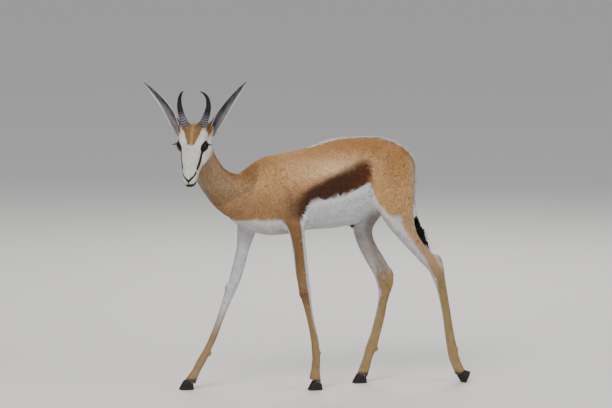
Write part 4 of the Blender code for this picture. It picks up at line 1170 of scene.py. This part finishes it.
# %% Ears
EAR_LENGTH = 0.193
for side, sign in SIDES:
    ear = merged_copy(["ear_" + side], "ear_skin_" + side)
    settle(ear, "SUBSURF", levels=2, render_levels=2)
    bpy.ops.object.shade_smooth()
    root = Vector((0.027, sign * 0.0488, -0.042))
    axis = Vector((-0.635, sign * (0.572 - 0.0325 * sign), 0.436)).normalized()
    face = Vector((0.60, sign * 0.30, 0.72))
    face = (face - axis * face.dot(axis)).normalized()
    rel = in_head(points_of(ear)) - np.array(root)
    ways = normals_of(ear) @ np.array(head_axes)
    share = rel @ np.array(axis) / EAR_LENGTH
    height = rel @ np.array(face)
    into_head = np.array(head_axes @ axis) * (0.008 * step(-share, -0.04, 0.05))[:, None]
    move_to(ear, points_of(ear) - into_head)
    bins = np.clip((share * 24).astype(int), 0, 25)
    top, base = (np.array([edge(height[bins == b]) if (bins == b).any() else 0 for b in range(27)])
                 for edge in (np.max, np.min))
    rim = top[bins] - height
    inside = step(ways @ np.array(face), 0.15, 0.3)
    colours = np.tile(TAN * 0.5 + WHITE * 0.4, (len(rel), 1))
    colours = lay(colours, inside, np.array((0.062, 0.057, 0.063)))
    across = sign * rel @ np.cross(np.array(axis), np.array(face))
    streaks = waver(np.column_stack((across, share * 0.012, height * 0.3)), 0.005, 12)
    colours = lay(colours, inside * np.clip(0.04 + 0.45 * streaks, 0, 0.6), WHITE * 0.5)
    colours = lay(colours, inside * step(waver(rel, 0.03, 13), 0.3, 0.5) * 0.6, SOOT * 2)
    pale_hair = inside * step(across, 0.001, 0.010) * step(-share, -0.60, 0.3)
    colours = lay(colours, pale_hair * 0.5, WHITE * 0.5)
    margin = np.where(across > 0, 0.30, 0.08) * (top - base)[bins]
    colours = lay(colours, step(margin - rim, 0, 0.0012) * step(share, 0.08, 0.1), WHITE)
    paint(ear, colours)
    wear(ear, coat)
    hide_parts("ear_" + side)
    extras.append(ear)
print("ears are on")

# %% [markdown]
# ## Horns and hooves
# Horn grows in rings, so the lower horn has raised ridges and the tip is smooth and black. A hoof is
# black horn too, worn dull at its edge.

# %% Horn finish
horn_finish, shader, w, place, colour = painted_finish("ringed_horn", 0.5, 0.25)
fibre = w.node("ShaderNodeTexNoise", Vector=place, Scale=420.0, Detail=4.0)
tint(shader, colour, 0.6 + 0.8 * fibre)
plug(0.42 + 0.3 * fibre, shader, "Roughness")
plug(w.node("ShaderNodeBump", Strength=0.4, Distance=0.0006, Height=fibre), shader, "Normal")

# %% Horns
HORN_PATH = ((0.034, 0.0275, -0.004), (0.028, 0.0320, 0.016), (0.014, 0.0400, 0.036),
             (-0.004, 0.0455, 0.054), (-0.022, 0.0440, 0.071), (-0.032, 0.0360, 0.084),
             (-0.036, 0.0260, 0.091))
RINGS, THICKEST, HORN_POINTS = 20, 0.0132, 220
for side, sign in SIDES:
    path = []
    for k, spot in enumerate(smooth_path(HORN_PATH, HORN_POINTS)):
        share = k / (HORN_POINTS - 1)
        ringed = min(1, max(0, (0.62 - share) / 0.12)) * min(1, share / 0.04)
        ridges = abs(math.sin(math.pi * share * RINGS)) ** 0.7 - 0.6
        radius = 0.0130 * (1 - share) ** 0.95 + 0.0010 + 0.0016 * ridges * ringed
        lean = 0.0010 + 0.0055 * math.sin(math.pi * share)
        path.append((from_head(spot[0], sign * spot[1] + lean, spot[2]), radius / THICKEST))
    horn = tube("ringed_horn_" + side, [path], THICKEST, 6, horn_finish)
    rel = in_head(points_of(horn))
    share = near_line(rel, smooth_path([(p[0], sign * p[1], p[2]) for p in HORN_PATH], 40))[1]
    ridges = step(np.abs(np.sin(math.pi * share * RINGS)), 0.5, 0.6)
    tones = lay(np.tile(SOOT * 2, (len(rel), 1)), ridges * 0.9, np.array((0.150, 0.150, 0.175)))
    tones = lay(tones, step(share, 0.33, 0.20), SOOT * 0.5)
    paint(horn, tones)
    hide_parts("horn_" + side)
    extras.append(horn)
print("horns are on")

# %% Hooves
for foot in ("fore_left", "fore_right", "hind_left", "hind_right"):
    for claw in ("outer", "inner"):
        node = f"hoof_{foot}_{claw}"
        hoof = merged_copy([node], "claw_" + foot + "_" + claw)
        settle(hoof, "BEVEL", width=0.0012, segments=2, limit_method="ANGLE",
               angle_limit=math.radians(40))
        settle(hoof, "SUBSURF", levels=1, render_levels=1, subdivision_type="SIMPLE")
        settle(hoof, "SMOOTH", factor=0.4, iterations=1)
        bpy.ops.object.shade_smooth()
        spots = points_of(hoof)
        worn = step(-(spots[:, 2] - spots[:, 2].min()), -0.003, 0.005) * 0.4
        paint(hoof, lay(np.tile(SOOT * 1.1, (len(spots), 1)), worn, np.array((0.06, 0.05, 0.04))))
        wear(hoof, horn_finish)
        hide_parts(node)
        extras.append(hoof)
print("hooves are on")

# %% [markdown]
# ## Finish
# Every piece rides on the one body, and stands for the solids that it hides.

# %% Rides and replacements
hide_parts(*FLESH)
for piece in [skin, *coats, *extras]:
    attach(piece, "root")
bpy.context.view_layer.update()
total = sum(len(piece.data.polygons) for piece in [skin, *coats, *extras])
print("faces in all", total)
